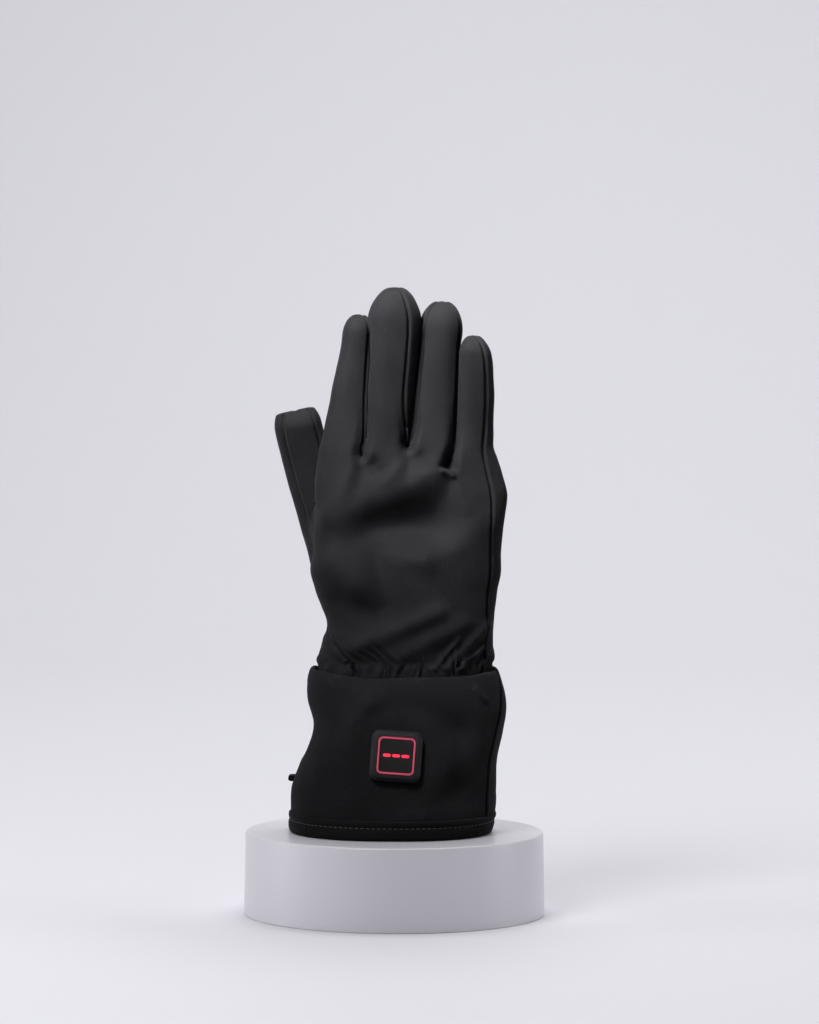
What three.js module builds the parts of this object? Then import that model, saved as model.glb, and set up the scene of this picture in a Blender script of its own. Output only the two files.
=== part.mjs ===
// A right-hand heated glove of black softshell cloth, standing on its gauntlet cuff on a round plinth.
// The back of the hand faces -Y, the fingers point up +Z and the thumb is on the -X side.
// The hand is one surface of rows and columns. It is cut along its seams into panels, and each panel
// is given the thickness of the cloth. The cuff is a second, looser tube with a bound lower edge.
// Lengths are millimetres. Angles are degrees round an upright axis: 0 is right, 90 front, 180 left.
// The origin is the middle of the plinth's underside.
import * as THREE from "three";

// Plinth
const plinthRadius = 80;
const plinthHeight = 44.5;
const plinthDraft = 0.8;
const plinthRound = 1.2;

// Cloth, seams and the air that is left between pieces
const clothWall = 2;
const seamGap = 0.4;
const restGap = 0.3;
const sewnGap = 0.5;

// Hand, from the cuff's edge to the finger crotches
const handMiddle = 8.1;
const handWidth = 103;
const handDepth = 48;
const palmLength = 118;
const crotchDent = 4;
const crotchDentWidth = 4.2;
const crotchDentFade = 15;
const gatherDepth = 2.8;

// Fingers: the middle finger's length, breadth and thickness
const fingerLength = 87;
const fingerWidth = 26;
const fingerDepth = 24;

// Thumb
const thumbLength = 79.6;
const thumbWidth = 25.9;
const thumbDepth = 21;
const thumbBehind = 29;

// Cuff
const cuffHeight = 84.2;
const hemWidth = 110;
const hemDepth = 87;
const hemMiddle = -1.4;
const hemForward = 7;
const cuffEase = 3.6;
const cuffDip = 3.6;
const foldThickness = 2.6;
const facingDrop = 9;
const facingWall = 1.3;

// Binding of the cuff's lower edge
const bindingHeight = 10;
const bindingWall = 1.3;
const bindingRoll = 1.2;
const bindingInnerLift = 1.2;

// Control button on the back of the cuff
const buttonWidth = 27.2;
const buttonHeight = 4.2;
const buttonCorner = 4.6;
const buttonFromHem = 43.6;
const buttonAside = 0.8;
const buttonRoll = -4;
const bezelSlope = 1.6;
const footHeight = 0.8;
const footInset = 0.5;
const lightFrameWidth = 19.6;
const lightFrameLine = 0.8;
const lightFrameProud = 0.15;
const pocketDepth = 3.4;
const pocketGap = 0.2;
const keyThickness = 1.7;
const keyRecess = 0.35;
const keyGap = 0.2;
const levelLength = 4.1;
const levelWidth = 1.6;
const levelPitch = 4.9;
const levelCount = 3;
const seatSink = 0.9;
const seatFlat = 21.2;
const seatFade = 35.4;

// Webbing tab in the cuff's left seam
const tabLength = 3;
const tabWidth = 9;
const tabThickness = 3;
const tabWall = 1;
const tabFromHem = 26.2;

// How finely the surfaces are divided
const fingerColumns = 5;
const stripColumns = 3;
const cuffColumns = 20;
const plinthSides = 72;

// Sections of the hand from inside the cuff, where at is below 0, through the cuff's edge at 0 to the
// finger crotches at 1. left and right are shares of half the hand's width from its middle, front and
// back are shares of half its depth, leftSeam and rightSeam are where the front panel ends, and gather
// is how far the elastic has drawn the cloth into pleats.
const palmRows = [
  { at: -0.119, left: -0.93, right: 0.815, front: 1.04, back: 0.99, leftSeam: 118, rightSeam: 32, gather: 0 },
  { at: -0.03, left: -0.955, right: 0.835, front: 1.1, back: 1.04, leftSeam: 118, rightSeam: 32, gather: 0 },
  { at: 0.035, left: -0.98, right: 0.87, front: 1.12, back: 1.05, leftSeam: 121, rightSeam: 32, gather: 0.9 },
  { at: 0.07, left: -0.99, right: 0.9, front: 1.1, back: 1.05, leftSeam: 126, rightSeam: 31, gather: 1 },
  { at: 0.107, left: -0.96, right: 0.88, front: 1.1, back: 1.05, leftSeam: 134, rightSeam: 30, gather: 0.7 },
  { at: 0.16, left: -0.92, right: 0.87, front: 1.12, back: 1.05, leftSeam: 152, rightSeam: 28, gather: 0.35 },
  { at: 0.224, left: -0.87, right: 0.87, front: 1.12, back: 1.06, leftSeam: 176, rightSeam: 27, gather: 0.1 },
  { at: 0.305, left: -0.925, right: 0.882, front: 1.1, back: 1.08, leftSeam: 184, rightSeam: 28, gather: 0 },
  { at: 0.38, left: -0.99, right: 0.9, front: 1.07, back: 1.08, leftSeam: 186, rightSeam: 29, gather: 0 },
  { at: 0.465, left: -1.045, right: 0.94, front: 1.03, back: 1.06, leftSeam: 187, rightSeam: 30, gather: 0 },
  { at: 0.56, left: -1.02, right: 0.945, front: 0.98, back: 1.02, leftSeam: 188, rightSeam: 31, gather: 0 },
  { at: 0.65, left: -1.01, right: 0.955, front: 0.92, back: 0.95, leftSeam: 188, rightSeam: 33, gather: 0 },
  { at: 0.746, left: -0.995, right: 0.985, front: 0.84, back: 0.85, leftSeam: 188, rightSeam: 34, gather: 0 },
  { at: 0.84, left: -1, right: 1, front: 0.735, back: 0.745, leftSeam: 188, rightSeam: 36, gather: 0 },
  { at: 0.92, left: -0.992, right: 0.96, front: 0.645, back: 0.66, leftSeam: 188, rightSeam: 36, gather: 0 },
  { at: 1, left: -0.963, right: 0.903, front: 0.58, back: 0.6, leftSeam: 188, rightSeam: 35, gather: 0 },
];
const palmPower = 2.4;
const leftStripAngle = 38;
const rightStripAngle = 50;

// Where the cloth parts between two fingers, as a share of the way over the front panel and over the
// palm panel, and how far that point is above the crotch level as a share of the palm's length.
const crotchRows = [
  { name: "index_middle", front: 0.314, back: 0.135, rise: 0.004 },
  { name: "middle_ring", front: 0.575, back: 0.425, rise: 0.047 },
  { name: "ring_little", front: 0.803, back: 0.69, rise: -0.03 },
];
const outerRise = -0.02;
const fanFrom = 0.55;

// Fingers, as shares of the middle finger, with the angles of their seams and of the strips beside them.
const fingerRows = [
  { length: 0.87, depth: 0.9, leftSeam: 190, rightSeam: 46, leftStrip: 38, rightStrip: 76 },
  { length: 1, depth: 1, leftSeam: 166, rightSeam: 60, leftStrip: 76, rightStrip: 76 },
  { length: 0.937, depth: 0.95, leftSeam: 136, rightSeam: 31, leftStrip: 76, rightStrip: 76 },
  { length: 0.77, depth: 0.8, leftSeam: 168, rightSeam: 60, leftStrip: 76, rightStrip: 70 },
];
// Sections of each finger from its root to its tip: middle is a share of half the hand's width from
// its middle, width a share of the finger width, and sway a share of the finger depth to the back.
const fingerSections = [
  [
    { at: 0, middle: -0.744, width: 0.87, sway: 0.1 },
    { at: 0.13, middle: -0.7, width: 0.9, sway: 0.16 },
    { at: 0.3, middle: -0.663, width: 0.84, sway: 0.24 },
    { at: 0.5, middle: -0.624, width: 0.765, sway: 0.32 },
    { at: 0.75, middle: -0.57, width: 0.69, sway: 0.42 },
    { at: 1, middle: -0.53, width: 0.66, sway: 0.46 },
  ],
  [
    { at: 0, middle: -0.24, width: 0.8, sway: -0.04 },
    { at: 0.15, middle: -0.215, width: 0.83, sway: -0.08 },
    { at: 0.4, middle: -0.211, width: 0.91, sway: -0.13 },
    { at: 0.62, middle: -0.198, width: 1.0, sway: -0.17 },
    { at: 0.8, middle: -0.186, width: 1.04, sway: -0.2 },
    { at: 1, middle: -0.172, width: 1.0, sway: -0.22 },
  ],
  [
    { at: 0, middle: 0.21, width: 0.84, sway: 0 },
    { at: 0.19, middle: 0.234, width: 0.865, sway: 0 },
    { at: 0.42, middle: 0.257, width: 0.865, sway: 0.01 },
    { at: 0.64, middle: 0.287, width: 0.84, sway: 0.02 },
    { at: 0.8, middle: 0.308, width: 0.86, sway: 0.03 },
    { at: 1, middle: 0.325, width: 0.82, sway: 0.03 },
  ],
  [
    { at: 0, middle: 0.645, width: 0.8, sway: 0.04 },
    { at: 0.28, middle: 0.665, width: 0.765, sway: -0.02 },
    { at: 0.54, middle: 0.678, width: 0.73, sway: -0.13 },
    { at: 0.79, middle: 0.668, width: 0.68, sway: -0.22 },
    { at: 1, middle: 0.638, width: 0.64, sway: -0.26 },
  ],
];
const fingerPower = 2.3;
const fingerRootBlend = 20;
const fingerStations = [0.1, 0.24, 0.44, 0.68];
const tipStations = [1, 0.55, 0.22, 0.05];
const tipRoundness = 0.7;
const tipSeamShare = 0.045;

// The thumb leaves the palm panel through an opening between two of the rows above. Its line is given
// as shares: across of the hand's width from its left edge, behind of thumbBehind, up of its length.
const thumbRowFrom = 7;
const thumbRowTo = 12;
const thumbPalmColumns = 4;
const thumbStripColumns = 2;
const thumbLine = [
  { across: 0.092, behind: 0.93, up: 0.17 },
  { across: 0.018, behind: 1, up: 0.36 },
  { across: -0.052, behind: 0.98, up: 0.66 },
  { across: -0.112, behind: 0.9, up: 1 },
];
const thumbFaceFrom = 9;
const thumbFaceColumns = 5;
const thumbBackFrom = 20;
const thumbStations = [0.12, 0.24, 0.38, 0.52, 0.7];
const thumbRootBlend = 0.5;
const thumbTipSeamShare = 0.34;
const thumbRoundness = 0.36;

// Folds of the cloth: each is a soft ridge or groove from one place to another. Places are shares of
// half the width from the middle and of the height from the lower edge; height and spread are shares
// of the depth. The folds reach round the front by foldReach and fade out towards the sides.
const foldReach = 1.6;
const palmFolds = [
  { name: "knuckle_ridge", fromX: -0.8, fromZ: 0.7, toX: 0.3, toZ: 0.93, height: 0.05, spread: 0.19 },
  { name: "middle_hollow", fromX: -0.12, fromZ: 0.73, toX: 0.45, toZ: 0.745, height: -0.085, spread: 0.25 },
  { name: "hollow_lip", fromX: -0.4, fromZ: 0.585, toX: 0.15, toZ: 0.535, height: 0.035, spread: 0.12 },
  { name: "hollow_lip_right", fromX: 0.15, fromZ: 0.535, toX: 0.72, toZ: 0.66, height: 0.04, spread: 0.12 },
  { name: "thumb_side_bulge", fromX: -0.78, fromZ: 0.5, toX: -0.62, toZ: 0.43, height: 0.06, spread: 0.22 },
  { name: "bulge_groove", fromX: -0.36, fromZ: 0.54, toX: -0.26, toZ: 0.33, height: -0.035, spread: 0.13 },
  { name: "under_bulge", fromX: -0.72, fromZ: 0.33, toX: -0.25, toZ: 0.25, height: -0.055, spread: 0.15 },
  { name: "low_ridge", fromX: -0.6, fromZ: 0.125, toX: 0.3, toZ: 0.29, height: 0.035, spread: 0.1 },
  { name: "low_groove", fromX: -0.35, fromZ: 0.13, toX: 0.35, toZ: 0.245, height: -0.03, spread: 0.07 },
  { name: "right_ridge", fromX: -0.1, fromZ: 0.09, toX: 0.55, toZ: 0.24, height: 0.03, spread: 0.09 },
  { name: "right_pull", fromX: 0.4, fromZ: 0.05, toX: 0.8, toZ: 0.23, height: 0.028, spread: 0.06 },
];
const cuffFolds = [
  { name: "left_pleat", fromX: -0.75, fromZ: 0.42, toX: -0.2, toZ: 0.8, height: 0.03, spread: 0.1 },
  { name: "upper_hollow", fromX: 0.05, fromZ: 0.68, toX: 0.62, toZ: 0.66, height: -0.035, spread: 0.12 },
  { name: "right_dent", fromX: 0.62, fromZ: 0.3, toX: 0.72, toZ: 0.14, height: -0.03, spread: 0.1 },
  { name: "hem_roll", fromX: 0.1, fromZ: 0.1, toX: 0.72, toZ: 0.12, height: 0.025, spread: 0.09 },
];

// Sections of the cuff from its hem at 0 to its upper edge at 1. The waves move its left and right
// outline by shares of half the hem's width.
const cuffRows = [
  { at: 0, leftWave: 0.022, rightWave: -0.05, leftSeam: 186, rightSeam: 27.5 },
  { at: 0.13, leftWave: 0.006, rightWave: 0, leftSeam: 187, rightSeam: 27.5 },
  { at: 0.26, leftWave: -0.009, rightWave: 0.008, leftSeam: 188, rightSeam: 27.5 },
  { at: 0.4, leftWave: 0.025, rightWave: 0.011, leftSeam: 190, rightSeam: 27 },
  { at: 0.53, leftWave: 0.08, rightWave: 0.035, leftSeam: 191, rightSeam: 27 },
  { at: 0.66, leftWave: 0.085, rightWave: 0.064, leftSeam: 191, rightSeam: 24.5 },
  { at: 0.8, leftWave: -0.005, rightWave: 0.075, leftSeam: 190, rightSeam: 20 },
  { at: 0.92, leftWave: -0.025, rightWave: 0.038, leftSeam: 188, rightSeam: 12 },
  { at: 1, leftWave: 0, rightWave: -0.005, leftSeam: 187, rightSeam: 7 },
];
const cuffPower = 2.3;
const cuffStations = [0.045, 0.13, 0.27, 0.4, 0.53, 0.66, 0.79, 0.9];
const foldStation = 0.975;
const foldInnerStation = 0.955;
const cuffEndShare = 0.003;

// Outside of the binding: out is a share of its roll beyond the cloth, up a share of its height.
const bindingRows = [
  { out: 0.2, up: 0 },
  { out: 0.85, up: 0.1 },
  { out: 1, up: 0.3 },
  { out: 0.8, up: 0.52 },
  { out: 0.5, up: 0.64 },
  { out: 0.8, up: 0.76 },
  { out: 0.7, up: 0.94 },
];

// Plain helpers
const fullTurn = 360;
const radians = THREE.MathUtils.degToRad;
const clamp = THREE.MathUtils.clamp;
const mix = THREE.MathUtils.lerp;
const ease = (x) => THREE.MathUtils.smoothstep(x, 0, 1);
const vector = (x, y, z) => new THREE.Vector3(x, y, z);
const range = (from, count) => Array.from({ length: count }, (_, k) => from + k);

// A column of a table at any height between its rows, on a smooth curve through them.
function read(rows, at, column) {
  const last = rows.length - 1;
  let i = 0;
  while (i < last - 1 && at > rows[i + 1].at) i += 1;
  const slope = (k) => {
    const a = Math.max(k - 1, 0);
    const b = Math.min(k + 1, last);
    return (rows[b][column] - rows[a][column]) / (rows[b].at - rows[a].at);
  };
  const span = rows[i + 1].at - rows[i].at;
  const t = clamp((at - rows[i].at) / span, 0, 1);
  const t2 = t * t;
  const t3 = t2 * t;
  return (
    (2 * t3 - 3 * t2 + 1) * rows[i][column] +
    (t3 - 2 * t2 + t) * span * slope(i) +
    (3 * t2 - 2 * t3) * rows[i + 1][column] +
    (t3 - t2) * span * slope(i + 1)
  );
}

// A point on a rounded section, at an angle round it.
function onSection(section, angle, z) {
  const c = Math.cos(radians(angle));
  const s = Math.sin(radians(angle));
  const bend = 2 / section.power;
  const middle = (section.left + section.right) / 2;
  const half = (section.right - section.left) / 2;
  const depth = s > 0 ? section.front : section.back;
  const x = middle + half * Math.sign(c) * Math.abs(c) ** bend;
  const y = section.y - depth * Math.sign(s) * Math.abs(s) ** bend;
  return vector(x, y, z);
}

const grown = (section, by) => ({
  ...section,
  left: section.left - by,
  right: section.right + by,
  front: section.front + by,
  back: section.back + by,
});

// The angle that lies a share of the way round a section between two angles, along the cloth.
function angleAtShare(section, from, to, share) {
  const steps = 40;
  const lengths = [0];
  let before = onSection(section, from, 0);
  for (let k = 1; k <= steps; k += 1) {
    const point = onSection(section, mix(from, to, k / steps), 0);
    lengths.push(lengths[k - 1] + point.distanceTo(before));
    before = point;
  }
  const wanted = share * lengths[steps];
  let k = 1;
  while (k < steps && lengths[k] < wanted) k += 1;
  const part = (wanted - lengths[k - 1]) / (lengths[k] - lengths[k - 1]);
  return mix(from, to, (k - 1 + part) / steps);
}

// Height of a table of folds at a place: size holds half the width, the height and the depth.
function foldHeight(folds, x, z, size) {
  let height = 0;
  for (const fold of folds) {
    const from = new THREE.Vector2(fold.fromX * size.half, fold.fromZ * size.height);
    const along = new THREE.Vector2(fold.toX * size.half, fold.toZ * size.height).sub(from);
    const place = new THREE.Vector2(x, z).sub(from);
    const share = clamp(place.dot(along) / along.lengthSq(), 0, 1);
    const away = place.sub(along.multiplyScalar(share)).length();
    height += fold.height * size.depth * Math.exp(-((away / (fold.spread * size.depth)) ** 2));
  }
  return height;
}

// Levels and columns of the hand
const hemBottom = plinthHeight + restGap;
const wristZ = hemBottom + cuffHeight;
const halfHand = handWidth / 2;
const frontColumns = fingerColumns * fingerRows.length;
const ringColumns = 2 * frontColumns + 2 * stripColumns;
const backStart = frontColumns + stripColumns;
const backEnd = backStart + frontColumns;

function palmSection(at) {
  return {
    left: handMiddle + halfHand * read(palmRows, at, "left"),
    right: handMiddle + halfHand * read(palmRows, at, "right"),
    front: (handDepth / 2) * read(palmRows, at, "front"),
    back: (handDepth / 2) * read(palmRows, at, "back"),
    power: palmPower,
    y: 0,
  };
}

// Where a column of the front or the palm panel lies on its panel, and how its upper end rises. The
// columns are even at the wrist and fan out to the crotches.
function panelPlace(side, column, at) {
  const fan = ease(2 * at - 1);
  const even = (k) => (k + 1) / fingerRows.length;
  const ends = [0, ...crotchRows.map((row, k) => mix(even(k), row[side], fan)), 1];
  const rises = [outerRise, ...crotchRows.map((row) => row.rise), outerRise];
  const finger = Math.min(Math.floor(column / fingerColumns), fingerRows.length - 1);
  const part = column / fingerColumns - finger;
  return {
    share: mix(ends[finger], ends[finger + 1], part),
    rise: mix(rises[finger], rises[finger + 1], ease(part)) * palmLength,
  };
}

// The four corners of the hand's section, as angles that fall all the way round.
function palmCorners(at) {
  const leftSeam = read(palmRows, at, "leftSeam");
  const rightSeam = read(palmRows, at, "rightSeam");
  return {
    leftSeam,
    rightSeam,
    palmRight: rightSeam - rightStripAngle,
    palmLeft: leftSeam + leftStripAngle - fullTurn,
  };
}

// Where each crotch lies: its x on the front and on the palm side, and its height.
const crotchPlaces = crotchRows.map((row) => {
  const section = palmSection(1);
  const corners = palmCorners(1);
  const front = angleAtShare(section, corners.leftSeam, corners.rightSeam, row.front);
  const back = angleAtShare(section, corners.palmLeft, corners.palmRight, row.back);
  return {
    front: onSection(section, front, 0).x,
    back: onSection(section, back, 0).x,
    z: wristZ + (1 + row.rise) * palmLength,
  };
});

// How far the cloth is drawn in beside the crotches.
function crotchDepth(point, side) {
  let depth = 0;
  for (const place of crotchPlaces) {
    const across = (point.x - place[side]) / crotchDentWidth;
    const below = (place.z - point.z) / crotchDentFade;
    depth += crotchDent * Math.exp(-across * across - below * below);
  }
  return depth;
}

// A point of the hand's outer surface. Columns run from the front panel's left seam over the front,
// the right strip, the palm side and the left strip.
function palmPoint(at, column) {
  const section = palmSection(at);
  const corners = palmCorners(at);
  let angle;
  let rise = outerRise * palmLength;
  let side = null;
  if (column <= frontColumns) {
    const place = panelPlace("front", column, at);
    angle = angleAtShare(section, corners.leftSeam, corners.rightSeam, place.share);
    rise = place.rise;
    side = "front";
  } else if (column < backStart) {
    angle = mix(corners.rightSeam, corners.palmRight, (column - frontColumns) / stripColumns);
  } else if (column <= backEnd) {
    const place = panelPlace("back", backEnd - column, at);
    angle = angleAtShare(section, corners.palmLeft, corners.palmRight, place.share);
    rise = place.rise;
    side = "back";
  } else {
    angle = mix(corners.palmLeft, corners.leftSeam - fullTurn, (column - backEnd) / stripColumns);
  }
  const z = wristZ + at * palmLength + rise * ease((at - fanFrom) / (1 - fanFrom));
  const point = onSection(section, angle, z);
  const outward = onSection(grown(section, 1), angle, z).sub(point);
  const facing = ease(Math.sin(radians(angle)) * foldReach);
  const size = { half: halfHand, height: palmLength, depth: handDepth };
  const fold = foldHeight(palmFolds, point.x - handMiddle, z - wristZ, size) * facing;
  const pleat = (1 - Math.cos(Math.PI * column)) / 2;
  const gather = gatherDepth * read(palmRows, at, "gather") * pleat;
  const dent = side === null ? 0 : crotchDepth(point, side);
  return point.addScaledVector(outward, fold - gather - dent);
}

// A surface in the making: its points, and for each panel its faces as loops of point numbers.
function addPoint(surface, point) {
  surface.points.push(point);
  return surface.points.length - 1;
}

function addFace(surface, panel, ...corners) {
  const loop = corners.filter((corner, k) => corner !== corners[(k + 1) % corners.length]);
  if (loop.length < 3) return;
  surface.panels[panel] ??= [];
  surface.panels[panel].push(loop);
}

// Faces between rings of points, each ring above the one before it.
function addRings(surface, rings, panelOf) {
  const count = rings[0].length;
  for (let i = 0; i + 1 < rings.length; i += 1) {
    for (let k = 0; k < count; k += 1) {
      const next = (k + 1) % count;
      addFace(surface, panelOf(k), rings[i][k], rings[i][next], rings[i + 1][next], rings[i + 1][k]);
    }
  }
}

// The last ring of a finger or thumb. Its front and back columns are sewn together along a short seam
// over the tip, and the columns of its sides end at the two ends of that seam.
function closingRing(count, frontFrom, backFrom, seam) {
  const last = seam.length - 1;
  const ring = Array(count).fill(seam[0]);
  for (let k = frontFrom + last; k <= backFrom; k += 1) ring[k % count] = seam[last];
  for (let m = 0; m <= last; m += 1) {
    ring[(frontFrom + m) % count] = seam[m];
    ring[(backFrom + m) % count] = seam[last - m];
  }
  return ring;
}

const thumbColumnFrom = backEnd - thumbPalmColumns;
const thumbColumnTo = backEnd + thumbStripColumns;

function inThumbOpening(row, column) {
  const rowInside = row >= thumbRowFrom && row < thumbRowTo;
  return rowInside && column >= thumbColumnFrom && column < thumbColumnTo;
}

function addPalm(surface) {
  const ringAt = (row) => range(0, ringColumns).map((column) => addPoint(surface, palmPoint(row.at, column)));
  const grid = palmRows.map(ringAt);
  for (let i = 0; i + 1 < grid.length; i += 1) {
    for (let j = 0; j < ringColumns; j += 1) {
      if (inThumbOpening(i, j)) continue;
      const next = (j + 1) % ringColumns;
      const panel = j < frontColumns ? "hand_back_panel" : "hand_palm_panel";
      addFace(surface, panel, grid[i][j], grid[i][next], grid[i + 1][next], grid[i + 1][j]);
    }
  }
  return grid;
}

// The line over each crotch, from the front panel to the palm panel.
function addCrotchLines(surface, top) {
  return crotchRows.map((_, k) => {
    const front = top[(k + 1) * fingerColumns];
    const back = top[backEnd - (k + 1) * fingerColumns];
    const between = range(1, stripColumns - 1).map((m) => {
      const point = surface.points[front].clone().lerp(surface.points[back], m / stripColumns);
      return addPoint(surface, point);
    });
    return [front, ...between, back];
  });
}

function addFinger(surface, index, top, crotches) {
  const finger = fingerRows[index];
  const sections = fingerSections[index];
  const last = fingerRows.length - 1;
  const outerRight = range(frontColumns, stripColumns + 1).map((j) => top[j]);
  const outerLeft = range(backEnd, stripColumns + 1).map((j) => top[j % ringColumns]);
  const right = index < last ? crotches[index] : outerRight;
  const left = index > 0 ? crotches[index - 1].toReversed() : outerLeft;
  const base = [
    ...range(index * fingerColumns, fingerColumns).map((j) => top[j]),
    ...right.slice(0, stripColumns),
    ...range(backEnd - (index + 1) * fingerColumns, fingerColumns).map((j) => top[j]),
    ...left.slice(0, stripColumns),
  ];
  const count = base.length;
  const root = base.reduce((sum, id) => sum.add(surface.points[id]), vector(0, 0, 0)).divideScalar(count);
  const length = finger.length * fingerLength;
  const palmRight = finger.rightSeam - finger.rightStrip;
  const palmLeft = finger.leftSeam + finger.leftStrip - fullTurn;
  const spread = (from, to, columns) => range(0, columns).map((m) => mix(from, to, m / columns));
  const angles = [
    ...spread(finger.leftSeam, finger.rightSeam, fingerColumns),
    ...spread(finger.rightSeam, palmRight, stripColumns),
    ...spread(palmRight, palmLeft, fingerColumns),
    ...spread(palmLeft, finger.leftSeam - fullTurn, stripColumns),
  ];

  const centreAt = (up) => {
    const share = up / length;
    const x = handMiddle + halfHand * read(sections, share, "middle");
    const y = fingerDepth * read(sections, share, "sway");
    return vector(x, y, root.z + up);
  };
  const halfAt = (up) => (fingerWidth / 2) * read(sections, up / length, "width");
  const ringPoint = (up, angle, taper) => {
    const centre = centreAt(up);
    const half = mix(fingerWidth * tipSeamShare, halfAt(up), taper);
    const depth = (fingerDepth / 2) * finger.depth * taper;
    const section = { left: centre.x - half, right: centre.x + half, front: depth, back: depth };
    return onSection({ ...section, y: centre.y, power: fingerPower }, angle, centre.z);
  };

  const rounding = 2 * halfAt(length) * tipRoundness;
  const rings = [base];
  for (const station of fingerStations) {
    const up = station * (length - rounding);
    const blend = ease(up / fingerRootBlend);
    const shift = centreAt(up).sub(root);
    const ring = angles.map((angle, k) => {
      const drawn = surface.points[base[k]].clone().add(shift);
      return addPoint(surface, drawn.lerp(ringPoint(up, angle, 1), blend));
    });
    rings.push(ring);
  }
  for (const station of tipStations) {
    const taper = Math.sqrt(1 - (1 - station) ** 2);
    const up = length - rounding * station;
    rings.push(angles.map((angle) => addPoint(surface, ringPoint(up, angle, taper))));
  }
  const seam = range(0, fingerColumns + 1).map((m) => {
    const point = centreAt(length);
    point.x += (m / fingerColumns - 0.5) * 2 * fingerWidth * tipSeamShare;
    return addPoint(surface, point);
  });
  const backFrom = fingerColumns + stripColumns;
  rings.push(closingRing(count, 0, backFrom, seam));

  const rightPanel = index < last ? "fourchette_" + crotchRows[index].name : "hand_palm_panel";
  const leftPanel = index > 0 ? "fourchette_" + crotchRows[index - 1].name : "hand_palm_panel";
  addRings(surface, rings, (k) => {
    if (k < fingerColumns) return "hand_back_panel";
    if (k < backFrom) return rightPanel;
    return k < backFrom + fingerColumns ? "hand_palm_panel" : leftPanel;
  });
}

// The thumb grows out of the edge of its opening, taken round from the corner that is lowest and
// nearest the palm's middle. The corners of that edge lie at 270, 180, 90 and 0 degrees round it.
function addThumb(surface, grid) {
  const wide = thumbPalmColumns + thumbStripColumns;
  const high = thumbRowTo - thumbRowFrom;
  const at = (row, column) => grid[row][column % ringColumns];
  const base = [
    ...range(0, wide).map((m) => at(thumbRowFrom, thumbColumnFrom + m)),
    ...range(0, high).map((m) => at(thumbRowFrom + m, thumbColumnTo)),
    ...range(0, wide).map((m) => at(thumbRowTo, thumbColumnTo - m)),
    ...range(0, high).map((m) => at(thumbRowTo - m, thumbColumnFrom)),
  ];
  const count = base.length;
  const corners = [0, wide, wide + high, 2 * wide + high, count];
  const angleOf = (k) => {
    const side = corners.findIndex((corner, n) => k >= corner && k < corners[n + 1]);
    return 270 - 90 * (side + (k - corners[side]) / (corners[side + 1] - corners[side]));
  };
  const root = base.reduce((sum, id) => sum.add(surface.points[id]), vector(0, 0, 0)).divideScalar(count);
  const stops = thumbLine.map((stop) => {
    const x = handMiddle - halfHand + stop.across * handWidth;
    return vector(x, stop.behind * thumbBehind, root.z + stop.up * thumbLength);
  });
  const line = new THREE.CatmullRomCurve3([root, ...stops]);
  const frameAt = (share) => {
    const centre = line.getPointAt(share);
    const along = line.getTangentAt(share);
    const side = vector(1, 0, 0).addScaledVector(along, -along.x).normalize();
    return { centre, side, front: side.clone().cross(along) };
  };
  const seamHalf = thumbWidth * thumbTipSeamShare;
  const ringPoint = (share, k, taper) => {
    const { centre, side, front } = frameAt(share);
    const half = mix(seamHalf, thumbWidth / 2, taper);
    const depth = (thumbDepth / 2) * taper;
    const section = { left: -half, right: half, front: depth, back: depth, y: 0, power: fingerPower };
    const flat = onSection(section, angleOf(k), 0);
    return centre.addScaledVector(side, flat.x).addScaledVector(front, -flat.y);
  };

  const rings = [base];
  for (const station of thumbStations) {
    const blend = ease(station / thumbRootBlend);
    const shift = line.getPointAt(station).sub(root);
    const ring = range(0, count).map((k) => {
      const drawn = surface.points[base[k]].clone().add(shift);
      return addPoint(surface, drawn.lerp(ringPoint(station, k, 1), blend));
    });
    rings.push(ring);
  }
  const rounding = (thumbWidth * thumbRoundness) / line.getLength();
  for (const station of tipStations) {
    const taper = Math.sqrt(1 - (1 - station) ** 2);
    const share = 1 - rounding * station;
    rings.push(range(0, count).map((k) => addPoint(surface, ringPoint(share, k, taper))));
  }
  const seam = range(0, thumbFaceColumns + 1).map((m) => {
    const { centre, side } = frameAt(1);
    return addPoint(surface, centre.addScaledVector(side, (m / thumbFaceColumns - 0.5) * 2 * seamHalf));
  });
  rings.push(closingRing(count, thumbFaceFrom, thumbBackFrom, seam));
  addRings(surface, rings, (k) => {
    if (k < thumbFaceFrom) return "thumb_outer_strip";
    return k < thumbFaceFrom + thumbFaceColumns ? "thumb_face_strip" : "thumb_inner_strip";
  });
}

function handSurface() {
  const surface = { points: [], panels: {} };
  const grid = addPalm(surface);
  const top = grid[grid.length - 1];
  const crotches = addCrotchLines(surface, top);
  fingerRows.forEach((_, index) => addFinger(surface, index, top, crotches));
  addThumb(surface, grid);
  return surface;
}

// At each point, the step from the cloth's outer face to its inner face.
function stepsInward(surface) {
  const sums = surface.points.map(() => vector(0, 0, 0));
  const turns = surface.points.map(() => 0);
  for (const loop of Object.values(surface.panels).flat()) {
    loop.forEach((id, k) => {
      const here = surface.points[id];
      const next = surface.points[loop[(k + 1) % loop.length]].clone().sub(here);
      const before = surface.points[loop[(k + loop.length - 1) % loop.length]].clone().sub(here);
      const turn = next.angleTo(before);
      sums[id].addScaledVector(next.cross(before).normalize(), turn);
      turns[id] += turn;
    });
  }
  const sharpest = 1.6;
  return sums.map((sum, id) => {
    const reach = Math.min(turns[id] / sum.length(), sharpest);
    return sum.normalize().multiplyScalar(-clothWall * reach);
  });
}

const material = (color, roughness, metalness = 0) =>
  new THREE.MeshStandardMaterial({ color, roughness, metalness });
const softshell = () => material(0x2a2a2d, 0.85);
const bindingCloth = () => material(0x1f1f22, 0.8);
const blackPlastic = () => material(0x17171a, 0.4);
const redLight = () => material(0xff4a54, 0.5);
const paleLacquer = () => material(0xc6c3cb, 0.45);

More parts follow.
